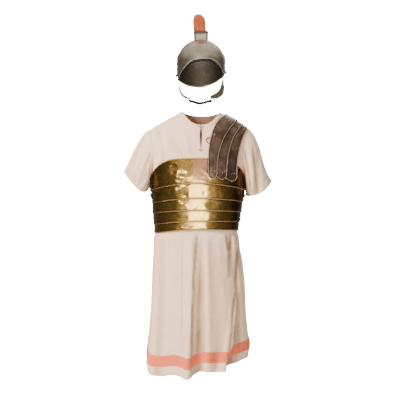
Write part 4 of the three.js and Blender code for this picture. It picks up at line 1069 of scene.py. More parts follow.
def slit_wall(outer, inner, middle, foot):
    """A wall that is parted after its middle column, above a foot row."""
    points = np.concatenate([outer.reshape(-1, 3), inner.reshape(-1, 3)])
    under = len(points) // 2
    number = np.arange(under).reshape(outer.shape[:2])
    number[: foot + 1, middle + 1] = number[: foot + 1, middle]
    kept = np.arange(number.shape[1] - 1) != middle
    faces = wall_faces(number[:, :-1][:, kept], number[:, 1:][:, kept], under)
    for column, low, way in ((0, 0, 1), (-1, 0, -1), (middle, foot, -1), (middle + 1, foot, 1)):
        line = number[low:, column]
        faces.append(quads(line[:-1], line[1:], line[1:] + under, line[:-1] + under)[:, ::way])
    return points, np.concatenate(faces)


CHEST_TOP = table("phi z", (0, -302), (19, -271), (37, -239), (52, -216), (66, -204), (90, -200))
LAME_EDGES = table(
    "turn edge0 edge1 edge2 edge3 lift",
    (-4, 34.5, 70, 107, 149, 9.3),
    (11, 36, 77, 115, 154, 9.2),
    (20, 40, 88, 124, 162, 5.7),
    (30, 49, 102, 135, 171, 3.6),
    (42, 63, 121, 150, 182, 1.6),
    (54, 81, 137, 165, 192, 1.5),
    (66, 98, 149, 176, 199, 1.5),
    (90, 112, 159, 186, 205, 1.5),
)


def edge_at(column, turn):
    return curve(LAME_EDGES, "turn", column, np.minimum(turn, 180 - np.asarray(turn)))


def make_panels():
    points, normals, deep = panel("front", 2 * fine(75) + 1)
    place = lengths_on(points)
    points, normals, deep, middle, foot = open_slit(points, normals, deep)
    place = np.insert(place, middle, place[:, middle], axis=1)
    shape = slit_wall(points, points - normals * CLOTH, middle, foot)
    sides = {"front": (points, shape, place, deep)}
    points, normals, deep = panel("back", 2 * fine(50) + 1)
    sides["back"] = points, wall(points, points - normals * CLOTH), lengths_on(points), deep
    for face, (points, shape, place, deep) in sides.items():
        nodes = [f"tunic_{face}"]
        made = piece(f"{face}_panel", shape, tunic_cloth, "tunic_cloth", nodes, place, True, hollow=deep)
        sides[face] = made, points
    return sides


panels = make_panels()
BELOW_HEM = (0, 0, -1000)


def make_ribbon(face):
    """A ribbon that lies on its panel's own points, so that it follows each fold."""
    first = np.searchsorted(RIBBON_RISES, HEM_MARGIN)
    grid = panels[face][1][first : len(RIBBON_RISES)]
    outward = grid_normals(grid, BELOW_HEM)
    edge = np.zeros(grid.shape[:2])
    edge[0] = edge[-1] = 1
    outer = grid + outward * (SEAM + TRIM - 0.5 * edge)[..., None]
    shape = wall(outer, grid + outward * 0.15)
    nodes = [f"hem_ribbon_{face}"]
    cloth = lengths_on(outer)
    made = piece(f"ribbon_{face}", shape, ribbon_cloth, "ribbon", nodes, cloth, hollow=0.0, edge=edge)
    return made, outer


ribbons = {face: make_ribbon(face) for face in panels}


def neck_places():
    """Round the neck from the slit's left edge by the back to its right edge."""
    front = mix(0.02, 1, 1 - (1 - np.linspace(0, 1, 60)) ** 2)
    behind = 1 - (1 - np.linspace(0, 1, 50)) ** 2
    places = [(share, "front") for share in front]
    places += [(share, "back") for share in behind[1:-1][::-1]]
    places += [(-share, "back") for share in behind[:-1]]
    places += [(-share, "front") for share in front[::-1]]
    return places


def binding_line(grow, out):
    """A line round the neck, at a distance from its edge and from the cloth's form."""
    line = []
    for share, face in neck_places():
        x, z = neckline(share, face, grow)
        line.append(over_shoulder(x, turn_at(x, z, face), out))
    return np.array(line)


# The binding's section: how far from the neck's edge and how far out
BINDING = (
    (-1.2, -1.0), (-1.4, 0.4), (-0.6, 1.6), (1.5, 2.1), (4.5, 1.9), (8.0, 1.7), (9.6, 1.3), (10.0, 0.5)
)


def make_binding():
    outer = np.array([binding_line(grow, out) for grow, out in BINDING])
    inner = np.array([binding_line(mix(grow, 4.5, 0.15), min(out - 0.7, 0.35)) for grow, out in BINDING])
    waves = unit(outer - inner) * 0.3 * ripple(outer, 9, 31)[..., None]
    shape = wall(outer + waves, inner)
    cloth = lengths_on(outer)
    return piece("neck_facing", shape, tunic_cloth, "tunic_cloth", ["neck_binding"], cloth, hollow=0.0)


neck_facing = make_binding()

# The sleeves. Kappa goes round a sleeve: 0 on top, 90 in front and 180 under the arm.
SLEEVES = (
    {
        "name": "right", "side": -1, "middle": (-262, 0, -284), "reach": (-54, 0, 34), "deep": 84,
        "sag": (-5, 0, -16), "droop": (0, 0, -52), "lift": ((-1, 0, 47), (5, 0, 21)), "under": (1, 0, -1),
        "folds": table(
            "kappa kappa_end begin out wide",
            (62, 92, 0.1, -7, 30), (120, 128, 0.2, 6, 28), (265, 262, 0.2, -7, 30),
        ),
        "creases": table(
            "kappa0 along0 kappa1 along1 width depth",
            (84, 0.05, 102, 0.85, 7, -4.0), (104, 0.35, 116, 0.95, 6, -3.0), (60, 0.1, 72, 0.9, 9, 2.5),
            (132, 0.25, 112, 0.9, 7, 2.5), (36, 0.2, 48, 1.0, 9, -2.0), (150, 0.4, 150, 1.0, 8, -3.0),
            (230, 0.1, 250, 1.0, 10, -3.0), (285, 0.2, 300, 1.0, 10, -2.5), (320, 0.1, 325, 1.0, 10, 2.0),
        ),
    },
    {
        "name": "left", "side": 1, "middle": (252, 0, -318), "reach": (55, 0, 29), "deep": 84,
        "sag": (0, 0, -26), "droop": (-18, 0, -10), "lift": ((21, 0, 34), (-19, 0, 0)), "under": (1, 0, 2),
        "folds": table(
            "kappa kappa_end begin out wide",
            (30, 104, 0.35, -10, 28), (78, 146, 0.0, -7, 26), (262, 250, 0.2, -8, 30),
        ),
        "creases": table(
            "kappa0 along0 kappa1 along1 width depth",
            (82, 0.0, 128, 0.75, 8, -5.0), (52, 0.25, 92, 0.98, 7, -5.0), (66, 0.2, 108, 0.9, 8, 3.5),
            (100, 0.1, 140, 0.8, 7, 3.0), (112, 0.55, 118, 1.0, 6, -3.0), (30, 0.3, 50, 1.0, 9, 2.0),
            (150, 0.3, 160, 1.0, 9, -2.5), (235, 0.1, 245, 1.0, 10, -3.0), (290, 0.2, 300, 1.0, 10, -2.5),
        ),
    },
)


# Where a sleeve's hem is sewn as a share of its length, how far it bulges and how round it is on top
CUFF_SEAM = 0.86
SLEEVE_BULGE = 10
SLEEVE_ROUND = 1.3


def armhole_point(side, kappa):
    front = kappa <= 180
    v = (1 + np.cos(np.radians(kappa))) / 2
    foot = form_point(0.0 if side < 0 else 180.0, UNDERARM)
    x = mix(foot[0], side * SHOULDER_TIP, v) - side * ARMHOLE_PULL * np.sin(math.pi * v)
    height = mix(UNDERARM, shoulder_height(side * SHOULDER_TIP), v)
    turn = np.where(front, turn_at(x, height, "front"), turn_at(x, height, "back"))
    on_seam = np.abs(np.sin(np.radians(kappa))) < 0.01
    shift = np.where(on_seam, 0, np.where(front, -SEAM / 2, SEAM / 2))
    return shoulder_point(x, turn) + vec(side * (SEAM + 0.05), shift, 0)


def sleeve_grid(sleeve, kappa, t):
    """The points of a sleeve, on curves that run from the armhole to its cuff."""
    a = np.radians(kappa)[None, :, None]
    t = t[:, None, None]
    middle, reach, sag, droop, under, lift = (
        np.array(sleeve[key]) for key in ("middle", "reach", "sag", "droop", "under", "lift")
    )
    start = armhole_point(sleeve["side"], kappa)[None]
    end = (
        middle + reach * np.cos(a) + np.array((0, -sleeve["deep"], 0)) * np.sin(a)
        + sag * np.sin(a) ** 2 + droop * (np.sin(a) * (1 - np.cos(a)) / 2) ** 2
    )
    over, below = (((1 + way * np.cos(a)) / 2) ** SLEEVE_ROUND for way in (1, -1))
    bulge = np.array((0, -SLEEVE_BULGE, 0)) * np.sin(a) + under * below
    first, second = (mix(start, end, k / 3) + lift[k - 1] * over + bulge for k in (1, 2))
    s = 1 - t
    return s**3 * start + 3 * s * s * t * first + 3 * s * t * t * second + t**3 * end


def sleeve_moves(sleeve, points, kappa, along):
    """How far the folds and the creases move a sleeve's points, and how much painted shade each crease gets.
    """
    along = along[:, None]
    total, pressed = np.zeros(points.shape[:-1]), np.zeros(points.shape[:-1])
    for row in each(sleeve["folds"]):
        share = np.clip((along - row["begin"]) / (1 - row["begin"]), 0, 1)
        away = np.abs(kappa - mix(row["kappa"], row["kappa_end"], share)) / row["wide"]
        total += row["out"] * np.sin(math.pi / 2 * share) * swell(away)
    for row in each(sleeve["creases"]):
        share = (along - row["along0"]) / (row["along1"] - row["along0"])
        inside = np.sqrt(np.clip(np.minimum(share, 1.15 - share) / 0.25, 0, 1))
        centre = mix(row["kappa0"], row["kappa1"], share)
        pressed += row["depth"] * inside * hump(kappa, centre, row["width"])
    seed = 21 if sleeve["side"] < 0 else 41
    waves = uneven(points, (1.3, 45, seed), (0.6, 18, seed + 1), (0.3, 9, seed + 2))
    return total + (pressed + waves) * smooth(0, 0.16, along), np.clip(-pressed / 6, 0, 1)


def make_sleeve(sleeve):
    kappa = np.linspace(0, 360, fine(132), endpoint=False)
    along = np.linspace(0, 1, fine(64))
    base = sleeve_grid(sleeve, kappa, along)
    across = (np.roll(base, -1, 1) - np.roll(base, 1, 1)) / 2
    normal = unit(np.cross(across, np.gradient(base, axis=0)))
    if (normal * (base - base.mean(axis=1, keepdims=True))).sum() < 0:
        normal = -normal
    normal[0, :, 0] = 0
    normal = unit(normal)
    move, hollow = sleeve_moves(sleeve, base, kappa, along)
    outer = base + normal * (move - 0.7 * hump(along, CUFF_SEAM, 0.012)[:, None])[..., None]
    name = f"sleeve_{sleeve['name']}"
    shape = wall(outer, outer - normal * CLOTH, around=True)
    cloth = lengths_on(outer)
    made = piece(f"{name}_cloth", shape, tunic_cloth, "tunic_cloth", [name], cloth, True, hollow=hollow)
    return made, outer, normal


sleeves = [make_sleeve(sleeve) for sleeve in SLEEVES]


# The cuirass

OVERLAP = 10.0
PLATE_LIFT = {"front": 1.4, "back": 1.8}
PLATE_FLARE = 2.9
PLATES = (
    # name, lower edge at the middle and at the two sides
    ("chest", -304, -332, -330),
    ("band_1", -365, -385, -378),
    ("band_2", -414, -426, -420),
    ("band_3", -458, -473, -460),
    ("band_4", -491, -509, -496),
)
BACK_LOWER = 14.0


def plate_foot(index, phi):
    _, middle, right, left = PLATES[index]
    lean = np.cos(np.radians(phi))
    return mix(middle, np.where(lean > 0, right, left), np.abs(lean) ** 1.5)


def plate_top(index, phi):
    if index > 0:
        return plate_foot(index - 1, phi) + OVERLAP
    from_side = np.minimum(phi % 180, 180 - phi % 180)
    lower = np.where(phi > 180, BACK_LOWER * np.sin(np.radians(from_side)), 0)
    return curve(CHEST_TOP, "phi", "z", from_side) - lower


def bead(away, wide, high):
    """A round rolled edge, at a distance from the very edge."""
    t = np.clip(1 - ((away - wide) / wide) ** 2, 0, None)
    return high * np.sqrt(t)


# Dents of the front plates: where they are, how wide, how high and how deep
DENTS = table(
    "x z wide high depth",
    (-105, -236, 16, 12, -1.9), (-84, -252, 9, 18, 1.7), (-70, -262, 12, 9, -1.6), (-92, -275, 14, 8, 1.4),
    (-118, -262, 10, 16, 1.3), (-60, -282, 16, 7, 1.0), (-30, -250, 26, 20, 0.8), (30, -262, 20, 26, -0.8),
    (-95, -332, 10, 10, 1.2), (-40, -345, 8, 20, 1.2), (-60, -350, 12, 8, -1.2), (22, -340, 8, 16, -1.0),
    (-58, -388, 14, 8, 1.3), (-18, -402, 10, 7, -1.3), (16, -392, 12, 10, 1.0), (60, -385, 18, 10, -1.2),
    (-40, -440, 12, 8, 1.1), (10, -438, 14, 8, -1.0), (70, -436, 14, 8, 1.1), (-90, -438, 16, 8, -1.1),
    (-24, -482, 9, 6, 1.0), (12, -484, 10, 6, -1.0), (-66, -486, 10, 6, 1.0), (98, -350, 12, 16, 1.4),
    (118, -398, 10, 12, -1.2), (-128, -340, 12, 16, 1.2), (-130, -395, 10, 12, 1.2), (112, -446, 10, 9, 1.2),
)


def dented(points):
    x, z = points[..., 0], points[..., 2]
    return sum(
        row["depth"] * np.exp(-(((x - row["x"]) / row["wide"]) ** 2) - ((z - row["z"]) / row["high"]) ** 2)
        for row in each(DENTS)
    )


# How far rows of points lie from a rolled edge
ROLL_ROWS = np.array([0, 0.4, 1, 1.8, 2.6, 3.4, 4.2, 4.8, 5.2, 6])


def make_plate(index, face):
    """A plate of the cuirass. Only the uppermost has its upper edge in sight, and it is rolled too."""
    name, upmost = PLATES[index][0], index == 0
    ends = (2.0, 178.0) if face == "front" else (182.0, 358.0)
    phi = np.linspace(*ends, fine(200))
    foot, top = plate_foot(index, phi), plate_top(index, phi)
    tall = top - foot
    last = ROLL_ROWS if upmost else np.array([0.0])
    shares = np.linspace(0, 1, fine(34 if upmost else 16) + 2)[1:-1]
    rises = [0 * tall + d for d in ROLL_ROWS]
    rises += [mix(6.0, tall - last.max(), share) for share in shares]
    rises = np.array(rises + [tall - d for d in last[::-1]])
    above = tall - rises
    share = np.clip(rises / tall, 0, 1)
    lift = PLATE_LIFT[face] + PLATE_FLARE * (0 * share + 1 if upmost else 1 - share)
    rolled = bead(rises - 0.3, 2.0, 1.8)
    free = smooth(5, 12, rises)
    # seam is painted shade: a dark line beside the rolled edge and at the very edge, and on lower plates the
    # shadow cast by the plate above
    seam = np.maximum(hump(rises, 6.2, 1.6) * 0.7, smooth(0.9, 0.2, rises))
    if upmost:
        rolled = np.maximum(rolled, bead(above - 0.3, 1.8, 1.4))
        free = free * smooth(5, 12, above)
        seam = np.maximum(seam, hump(above, 5.6, 1.4) * 0.6)
    else:
        free = free * smooth(0, 8, above - OVERLAP)
        seam = np.maximum(seam, hump(np.clip(above - OVERLAP, 0, None), 0, 3.2))
    z = foot + rises
    normal = form_normal(phi, z)
    inner = form_point(phi, z) + normal * lift[..., None]
    beaten = uneven(inner, (0.55, 34, 50 + index), (0.25, 13, 60 + index))
    if face == "front":
        beaten = beaten + dented(inner)
    beaten = beaten * free * smooth(0, 8, np.minimum(phi - ends[0], ends[1] - phi))
    outer = inner + normal * (PLATE + rolled + beaten)[..., None]
    edge = np.clip(rolled / 1.8, 0, 1)
    nodes = [f"plate_{name}_{face}"]
    return piece(f"{name}_{face}", wall(outer, inner), brass, "brass", nodes, edge=edge, hollow=seam)


for index in range(len(PLATES)):
    for face in ("front", "back"):
        make_plate(index, face)

SIDE_STRAP = {"z": -352.0, "half": 9.0, "reach": 15.0, "lift": 5.9}
BUCKLE = {"half": 12.0, "bar": 1.5, "turn": 5.0, "corner": 0.22, "gap": 0.9, "seat": 1.25}


def make_side_strap(name, middle):
    phi = middle + np.linspace(-SIDE_STRAP["reach"], SIDE_STRAP["reach"], fine(70))
    across = np.linspace(-1, 1, 15)[:, None]
    from_middle = np.clip(np.abs(phi - middle) / SIDE_STRAP["reach"], 0, 1)
    z = SIDE_STRAP["z"] + across * SIDE_STRAP["half"] * np.sqrt(np.clip(1 - from_middle**10, 0.1, 1))
    inner = over_form(phi, z, SIDE_STRAP["lift"])
    crown = LEATHER * (1 - 0.45 * np.abs(across) ** 6) - 0.25 * hump(np.abs(across), 0.72, 0.06)
    outer = over_form(phi, z, SIDE_STRAP["lift"] + crown + 0.15 * ripple(inner, 8, 71))
    edge = np.broadcast_to(np.abs(across) ** 8, z.shape)
    shape, nodes = wall(outer, inner), [f"side_strap_{name}"]
    piece(f"strap_{name}", shape, brown_leather, "brown_leather", nodes, edge=edge)


def squared(wave):
    """A sine or cosine pressed towards a square, so that a ring becomes a frame with round corners."""
    return np.sign(wave) * np.abs(wave) ** BUCKLE["corner"]


def make_buckle(name, phi):
    """A round-cornered wire frame with its pin, lying on the strap."""
    lift = SIDE_STRAP["lift"] + LEATHER + BUCKLE["gap"] + BUCKLE["seat"]
    seat = over_form(phi, SIDE_STRAP["z"], lift)
    out = form_normal(phi, SIDE_STRAP["z"])
    up = unit(np.array([0, 0, 1.0]) - out * out[2])
    along = np.cross(up, out)
    turn = np.linspace(0, 2 * math.pi, 48, endpoint=False)[:, None]
    reach = BUCKLE["half"] - BUCKLE["bar"]
    ring = seat + squared(np.cos(turn)) * reach * along + squared(np.sin(turn)) * reach * up
    line = line_through([seat - along * reach, seat + out * 0.4, seat + along * (reach + 1.2)], 14)
    shape = joined(
        sweep(ring, BUCKLE["bar"], 10, closed=True, flat=0.85, up=out),
        sweep(line, np.linspace(1.1, 0.8, 14), 8, up=out),
    )
    piece(f"buckle_{name}", shape, brass_small, "brass", [f"side_buckle_{name}"])


for name, middle, towards_front in (("right", 0.0, 1), ("left", 180.0, -1)):
    make_side_strap(name, middle)
    make_buckle(name, middle + towards_front * BUCKLE["turn"])

# The shoulder lames

LAME_STEP = 2.3
LAME_TUCK = 8.0
LAME_ROUND = 20.0
LAME_ENDS = (-284.0, -288.0, -295.0)


def lame_rows(index):
    """The turns over the shoulder from the front end to the back end, with how open the rounded end is."""
    middle = (edge_at(f"edge{index}", 0) + edge_at(f"edge{index + 1}", 0)) / 2
    rises = LAME_ROUND * (1 - np.cos(np.linspace(0.18, math.pi / 2, fine(16))))
    z = LAME_ENDS[index] + rises
    turn = np.where(z < UNDERARM, (z - UNDERARM) / 4, turn_at(middle, z, "front"))
    more = np.linspace(turn[-1], 90, fine(76))[1:]
    turn = np.concatenate([turn, more])
    opened = np.concatenate([np.sqrt(1 - (1 - rises / LAME_ROUND) ** 2), np.ones(len(more))])
    far = np.concatenate([rises, np.full(len(more), 60.0)])
    behind = slice(-2, None, -1)
    turn = np.concatenate([turn, 180 - turn[behind]])
    return turn, *(np.concatenate([line, line[behind]]) for line in (opened, far))


def make_lame(index, name):
    turn, opened, far = lame_rows(index)
    tuck = 0.0 if index == 0 else LAME_TUCK
    left = edge_at(f"edge{index}", turn) - tuck * np.clip(opened * 3 - 2, 0, 1)
    right = edge_at(f"edge{index + 1}", turn) - 1
    centre, half = (left + right) / 2, (right - left) / 2 * np.maximum(opened, 0.2)
    near = np.array([0, 0.35, 0.9, 1.6, 2.3, 3.0, 3.6, 4.1, 4.8])
    opened, far, wide = opened[:, None], far[:, None], (2 * half)[:, None]
    close = np.minimum(near[None], wide * 0.45)
    inside = close[:, -1:] + (wide - 2 * close[:, -1:]) * np.linspace(0, 1, fine(18) + 2)[None, 1:-1]
    offset = np.concatenate([close, inside, wide - close[:, ::-1]], 1)
    x = (centre - half)[:, None] + offset
    turns = np.broadcast_to(turn[:, None], x.shape)
    lift = edge_at("lift", turn) + (2 - index) * LAME_STEP
    from_left = offset if index == 0 else np.where(np.minimum(opened, 1) < 0.999, offset, offset + 50)
    away = np.minimum(np.minimum(from_left, wide - offset), far + 0.4)
    rolled = bead(away - 0.7, 1.4, 1.2)
    normal = shoulder_normal(x, turns)
    inner = shoulder_point(x, turns) + normal * lift[:, None, None]
    beaten = uneven(inner, (0.5, 22, 80 + index), (0.3, 8, 84 + index)) * smooth(4, 9, away)
    outer = inner + normal * (PLATE + rolled + beaten)[..., None]
    # Painted shade: dark lines beside the rolled rim and along the outer edge, and on the lower lames the
    # shadow of the lame above
    groove_shade = np.maximum(hump(away, 4.9, 1.3) * 0.8, smooth(1.1, 0.5, away))
    if index > 0:
        shaded = np.exp(-np.clip(offset - LAME_TUCK, 0, None) / 2.5) * smooth(0.9, 1.0, opened)
        groove_shade = np.maximum(groove_shade, shaded)
    edge = np.clip(rolled / 1.1, 0, 1)
    nodes = [f"shoulder_lame_{name}"]
    piece(f"lame_{name}", wall(outer, inner), bronze, "bronze", nodes, edge=edge, hollow=groove_shade)


for index, name in enumerate(("inner", "middle", "outer")):
    make_lame(index, name)

STUD = {"x": 62.0, "turn": 31.0, "radius": 5.0, "height": 4.5}

# The section of a round head on a flat collar, as shares of its radius and its height, below its dome
COLLAR = ((0.3, 0.0), (0.97, 0.0), (1.0, 0.12), (0.93, 0.22))


def lame_top(turn, index):
    """How far the outside of a lame lies over the cloth's form."""
    return edge_at("lift", turn) + (2 - index) * LAME_STEP + PLATE


def make_stud():
    x, turn = np.float64(STUD["x"]), np.float64(STUD["turn"])
    seat = over_shoulder(x, turn, lame_top(turn, 0) - 0.2)
    out = shoulder_normal(x, turn)
    side = unit(np.cross(out, np.array([0.3, 0.2, 1.0])))
    angle = np.linspace(0, 2 * math.pi, 28, endpoint=False)[:, None]
    ring = np.cos(angle) * side + np.sin(angle) * np.cross(out, side)
    arc = np.linspace(0, math.pi / 2, 11)[:-1]
    section = np.concatenate([COLLAR, np.stack([0.84 * np.cos(arc), 0.24 + 0.76 * np.sin(arc)], -1)])
    rings = np.array([seat + out * h * STUD["height"] + r * STUD["radius"] * ring for r, h in section])
    shape = closed_tube(rings, seat, seat + out * STUD["height"])
    piece("round_stud", shape, stud_metal, "brass", ["shoulder_stud"])


LOOP = {"x": 42.0, "turn": 24.5, "radius": 12.0, "height": 2.7, "wire": 1.6, "lift": 2.1, "lift_feet": 3.2}


def make_loop():
    """A bent wire whose feet go under the inner lame."""
    angle = np.radians(np.linspace(75, 285, 40))
    lift = mix(LOOP["lift"], LOOP["lift_feet"], np.abs(np.linspace(-1, 1, 40)))
    x, turn = LOOP["x"] + LOOP["radius"] * np.cos(angle), LOOP["turn"] + LOOP["height"] * np.sin(angle)
    shape = sweep(over_shoulder(x, turn, lift), LOOP["wire"], 12)
    piece("wire_loop", shape, bronze_wire, "bronze", ["lacing_loop"])


make_stud()
make_loop()

# The helmet, about the middle of its bowl

HELMET = np.array((8.4, -15.0, 197.0))
BOWL = {"wide": 101.5, "deep": 117.0, "high": 106.0, "low": 230.0}
BOWL_WALL = 1.6
RIM_SLANT = 10.0
BOWL_RIM = table(
    "psi z",
    (0, 5), (22, 0), (40, -16), (55, -34), (68, -48), (85, -53), (115, -59), (150, -76), (180, -84),
)


def bowl_point(psi, rise, out):
    a, e = np.radians(psi), np.radians(rise)
    wide, deep = BOWL["wide"] + out, BOWL["deep"] + out
    tall = np.where(e >= 0, BOWL["high"] + out, BOWL["low"])
    return HELMET + vec(wide * np.cos(e) * np.sin(a), -deep * np.cos(e) * np.cos(a), tall * np.sin(e))


def rise_at(z):
    return np.degrees(np.arcsin(np.clip(z / np.where(z >= 0, BOWL["high"], BOWL["low"]), -1, 1)))


def rim_height(psi):
    turned = np.minimum(np.abs(psi), 360 - np.abs(psi))
    return curve(BOWL_RIM, "psi", "z", turned) + RIM_SLANT * np.sin(np.radians(psi))


def closed_cap(outer, inner, top_outer, top_inner):
    """A wall that runs round and closes over the top of its last ring."""
    points, faces = wall(outer, inner, around=True)
    under, columns = len(points) // 2, outer.shape[1]
    here = np.arange(under - columns, under)
    after = np.roll(here, -1)
    apex = np.full(columns, len(points))
    faces = faces[:-columns].tolist()
    faces += np.stack([here, after, apex], -1).tolist()
    faces += np.stack([after + under, here + under, apex + 1], -1).tolist()
    return np.concatenate([points, [top_outer, top_inner]]), faces


HELMET_CORE = HELMET + (0, 0, -10)


def make_bowl():
    psi = np.linspace(0, 360, fine(144), endpoint=False)
    share = np.concatenate([[0, 0.005, 0.012, 0.02, 0.03], np.linspace(0.045, 0.985, fine(44))])[:, None]
    rise = mix(rise_at(rim_height(psi)), 90, share)
    base = bowl_point(psi, rise, 0.0)
    beaten = uneven(base, (0.35, 24, 90), (0.2, 9, 91)) * smooth(0.02, 0.1, share)
    edge = np.broadcast_to(smooth(0.03, 0.0, share), rise.shape)
    outer = base + unit(base - HELMET_CORE) * (0.5 * edge + beaten)[..., None]
    tops = (HELMET + (0, 0, BOWL["high"] - wall_here) for wall_here in (0, BOWL_WALL))
    shape = closed_cap(outer, bowl_point(psi, rise, -BOWL_WALL), *tops)
    edges = np.concatenate([edge.ravel(), edge.ravel(), [0, 0]])
    # Painted shade on the bowl's inside: its inner wall is painted dark
    hollow = np.concatenate([np.zeros(edge.size), np.ones(edge.size), [0, 1]])
    piece("bowl", shape, iron, "helmet_metal", ["helmet_bowl"], edge=edges, hollow=hollow)


make_bowl()

BROW_FOOT = table("tau alpha", (14, -50), (25, -36), (37, -16), (56, -3), (72, 1.5), (90, 3))
BROW = {"lift": 1.7, "wall": 1.5, "top": 49.0, "end": 14.0, "slant": 5.0, "round": 108.0}


def brow_point(tau, alpha, out):
    t, a = np.radians(tau), np.radians(alpha)
    wide, deep = BOWL["wide"] + out, BOWL["deep"] + out
    tall = np.where(a >= 0, BOWL["high"] + out, BOWL["low"])
    return HELMET + vec(-wide * np.cos(t), -deep * np.sin(t) * np.cos(a), tall * np.sin(t) * np.sin(a))


def make_brow():
    tau = np.linspace(BROW["end"], 180 - BROW["end"], fine(150))
    foot = curve(BROW_FOOT, "tau", "alpha", np.minimum(tau, 180 - tau))
    foot = foot - BROW["slant"] * np.cos(np.radians(tau))
    tall = np.radians(BROW["top"] - foot) * BROW["round"] * np.sin(np.radians(tau))
    near = np.array([0, 0.4, 1.0, 1.8, 2.6, 3.3, 3.9, 4.6])
    shares = [np.minimum(d / tall, 0.4) for d in near]
    shares += [0 * tall + share for share in np.linspace(0.12, 0.9, fine(30))]
    share = np.array(shares + [1 - np.minimum(d / tall, 0.09) for d in near[::-1]])
    alpha = mix(foot, BROW["top"], share)
    low, high = share * tall, (1 - share) * tall
    away = np.minimum(low, high)
    rolled = np.maximum(bead(low - 0.3, 1.5, 1.2), bead(high - 0.3, 1.5, 0.9))
    inner = brow_point(tau, alpha, BROW["lift"])
    beaten = uneven(inner, (0.4, 26, 95), (0.25, 10, 96)) * smooth(4, 9, away)
    outer = brow_point(tau, alpha, BROW["lift"] + BROW["wall"])
    outer = outer + unit(inner - HELMET_CORE) * (rolled + beaten)[..., None]
    # Painted shade: dark lines beside both rolled edges and at the very edges
    groove_shade = hump(low, 4.8, 1.2) * 0.5 + hump(high, 4.6, 1.6) * 0.8
    groove_shade = np.maximum(groove_shade, smooth(0.9, 0.2, away))
    edge = np.clip(rolled / 1.3, 0, 1)
    piece("brow", wall(outer, inner), iron, "helmet_metal", ["brow_plate"], edge=edge, hollow=groove_shade)


LINING = {"turn": 66, "low": -9, "high": 20, "gap": 2.2, "wall": 2, "roll": 0.9}


def make_lining():
    """A leather lining inside the bowl's rim, with a rolled lower edge."""
    psi = np.linspace(-LINING["turn"], LINING["turn"], fine(110))
    above = np.linspace(LINING["low"], LINING["high"], 16)[:, None]
    rise = rise_at(rim_height(psi) + above)
    outside = -BOWL_WALL - LINING["gap"]
    outer, inner = (bowl_point(psi, rise, out) for out in (outside, outside - LINING["wall"]))
    inner = inner - unit(outer - inner) * LINING["roll"] * hump(above, -7, 2.2)[..., None]
    edge = np.broadcast_to(0.2 * smooth(-5, -9, above), rise.shape)
    # Partly a real lining and partly painted shade: its near black stands in for the shade under the brow's
    # edge
    piece("lining", wall(outer, inner), black_leather, "black_leather", ["brow_lining"], edge=edge)


make_brow()
make_lining()

# Each row of a cheek guard has its front and its rear edge, with x outwards from the helmet's middle
GUARDS = (
    ("right", -1, 1.0, table(
        "fx fy fz rx ry rz",
        (86, -20, -24, 91, 16, -26), (88, -27, -48, 91, 20, -50), (90, -30, -74, 92.5, 20, -76),
        (89, -36, -98, 93, 12, -101), (81, -48, -121, 86, -4, -124), (66, -60, -138, 71, -22, -142),
        (52, -70, -146, 56, -42, -150), (43, -74, -149, 46, -58, -153),
    )),
    ("left", 1, 3.0, table(
        "fx fy fz rx ry rz",
        (82, -20, -14, 90, 16, -16), (88, -27, -42, 92, 20, -44), (88, -32, -72, 95, 20, -72),
        (81, -42, -99, 98, 10, -102), (72, -54, -117, 91, -5, -127), (56, -66, -130, 76, -24, -143),
        (42, -74, -139, 56, -44, -150), (33, -77, -145, 40, -60, -152),
    )),
)


def make_guard(name, side, bulge, rows):
    count = fine(72)
    front = line_through(vec(side * rows["fx"], rows["fy"], rows["fz"]), count)
    rear = line_through(vec(side * rows["rx"], rows["ry"], rows["rz"]), count)
    near = np.array([0, 0.02, 0.05, 0.09, 0.13])
    u = np.concatenate([near, np.linspace(0.18, 0.82, 12), 1 - near[::-1]])
    grid = front[:, None] * (1 - u)[:, None] + rear[:, None] * u[:, None]
    grid = grid + vec(side * bulge * np.sin(math.pi * u), 0, 0)
    normal = grid_normals(grid, (0, 0, -60))
    wide = np.linalg.norm(rear - front, axis=-1)[:, None]
    ends = np.minimum(np.arange(count), np.arange(count)[::-1])[:, None] * 2.2
    away = np.minimum(np.minimum(u * wide, (1 - u) * wide), ends + 0.3)
    rolled = bead(away, 1.6, 0.9)
    beaten = 0.3 * ripple(grid, 14, 100 + side) * smooth(3, 7, away)
    shape = wall(HELMET + grid + normal * (rolled + beaten)[..., None], HELMET + grid - normal * PLATE)
    # The second mask is painted shade: a dark line beside the rolled edge
    edge, groove_shade = np.clip(rolled / 0.8, 0, 1), hump(away, 4.2, 1.2) * 0.6
    piece(f"cheek_{name}", shape, iron, "helmet_metal", [f"cheek_guard_{name}"], edge=edge, hollow=groove_shade)


for guard in GUARDS:
    make_guard(*guard)

CHIN_LINE = ((-54, -58, -152), (-40, -66, -154), (-4, -70, -163), (34, -69, -154), (48, -61, -152.6))
CHIN = {"half": 7.0, "tilt": 13.0}


def make_chin_tie():
    """A flat thong between the cheek guards, whose front edge turns down away from its ends."""
    line = HELMET + line_through(CHIN_LINE, fine(60))
    across = np.linspace(-1, 1, 11)
    turned = np.clip(2.4 * np.sin(np.linspace(0, math.pi, len(line))), 0, 1)[:, None]
    place = line[:, None] + vec(0, across * CHIN["half"], -0.4 - CHIN["tilt"] * turned * (1 - across) / 2)
    thick = LEATHER * (1 - 0.4 * np.abs(across) ** 6) + 0.3 * ripple(place, 9, 120)
    edge = np.broadcast_to(np.abs(across) ** 8, place.shape[:2])
    shape = wall(place, place - vec(0, 0, thick))
    piece("chin_thong", shape, black_leather, "black_leather", ["chin_tie"], edge=edge)


make_chin_tie()

# Name, height, half its width and how far it lies from the binding or the cloth
TIES = (("neck_tie", -74.0, 9.0, 2.1), ("slit_tie", -170.0, 8.0, 0.4))


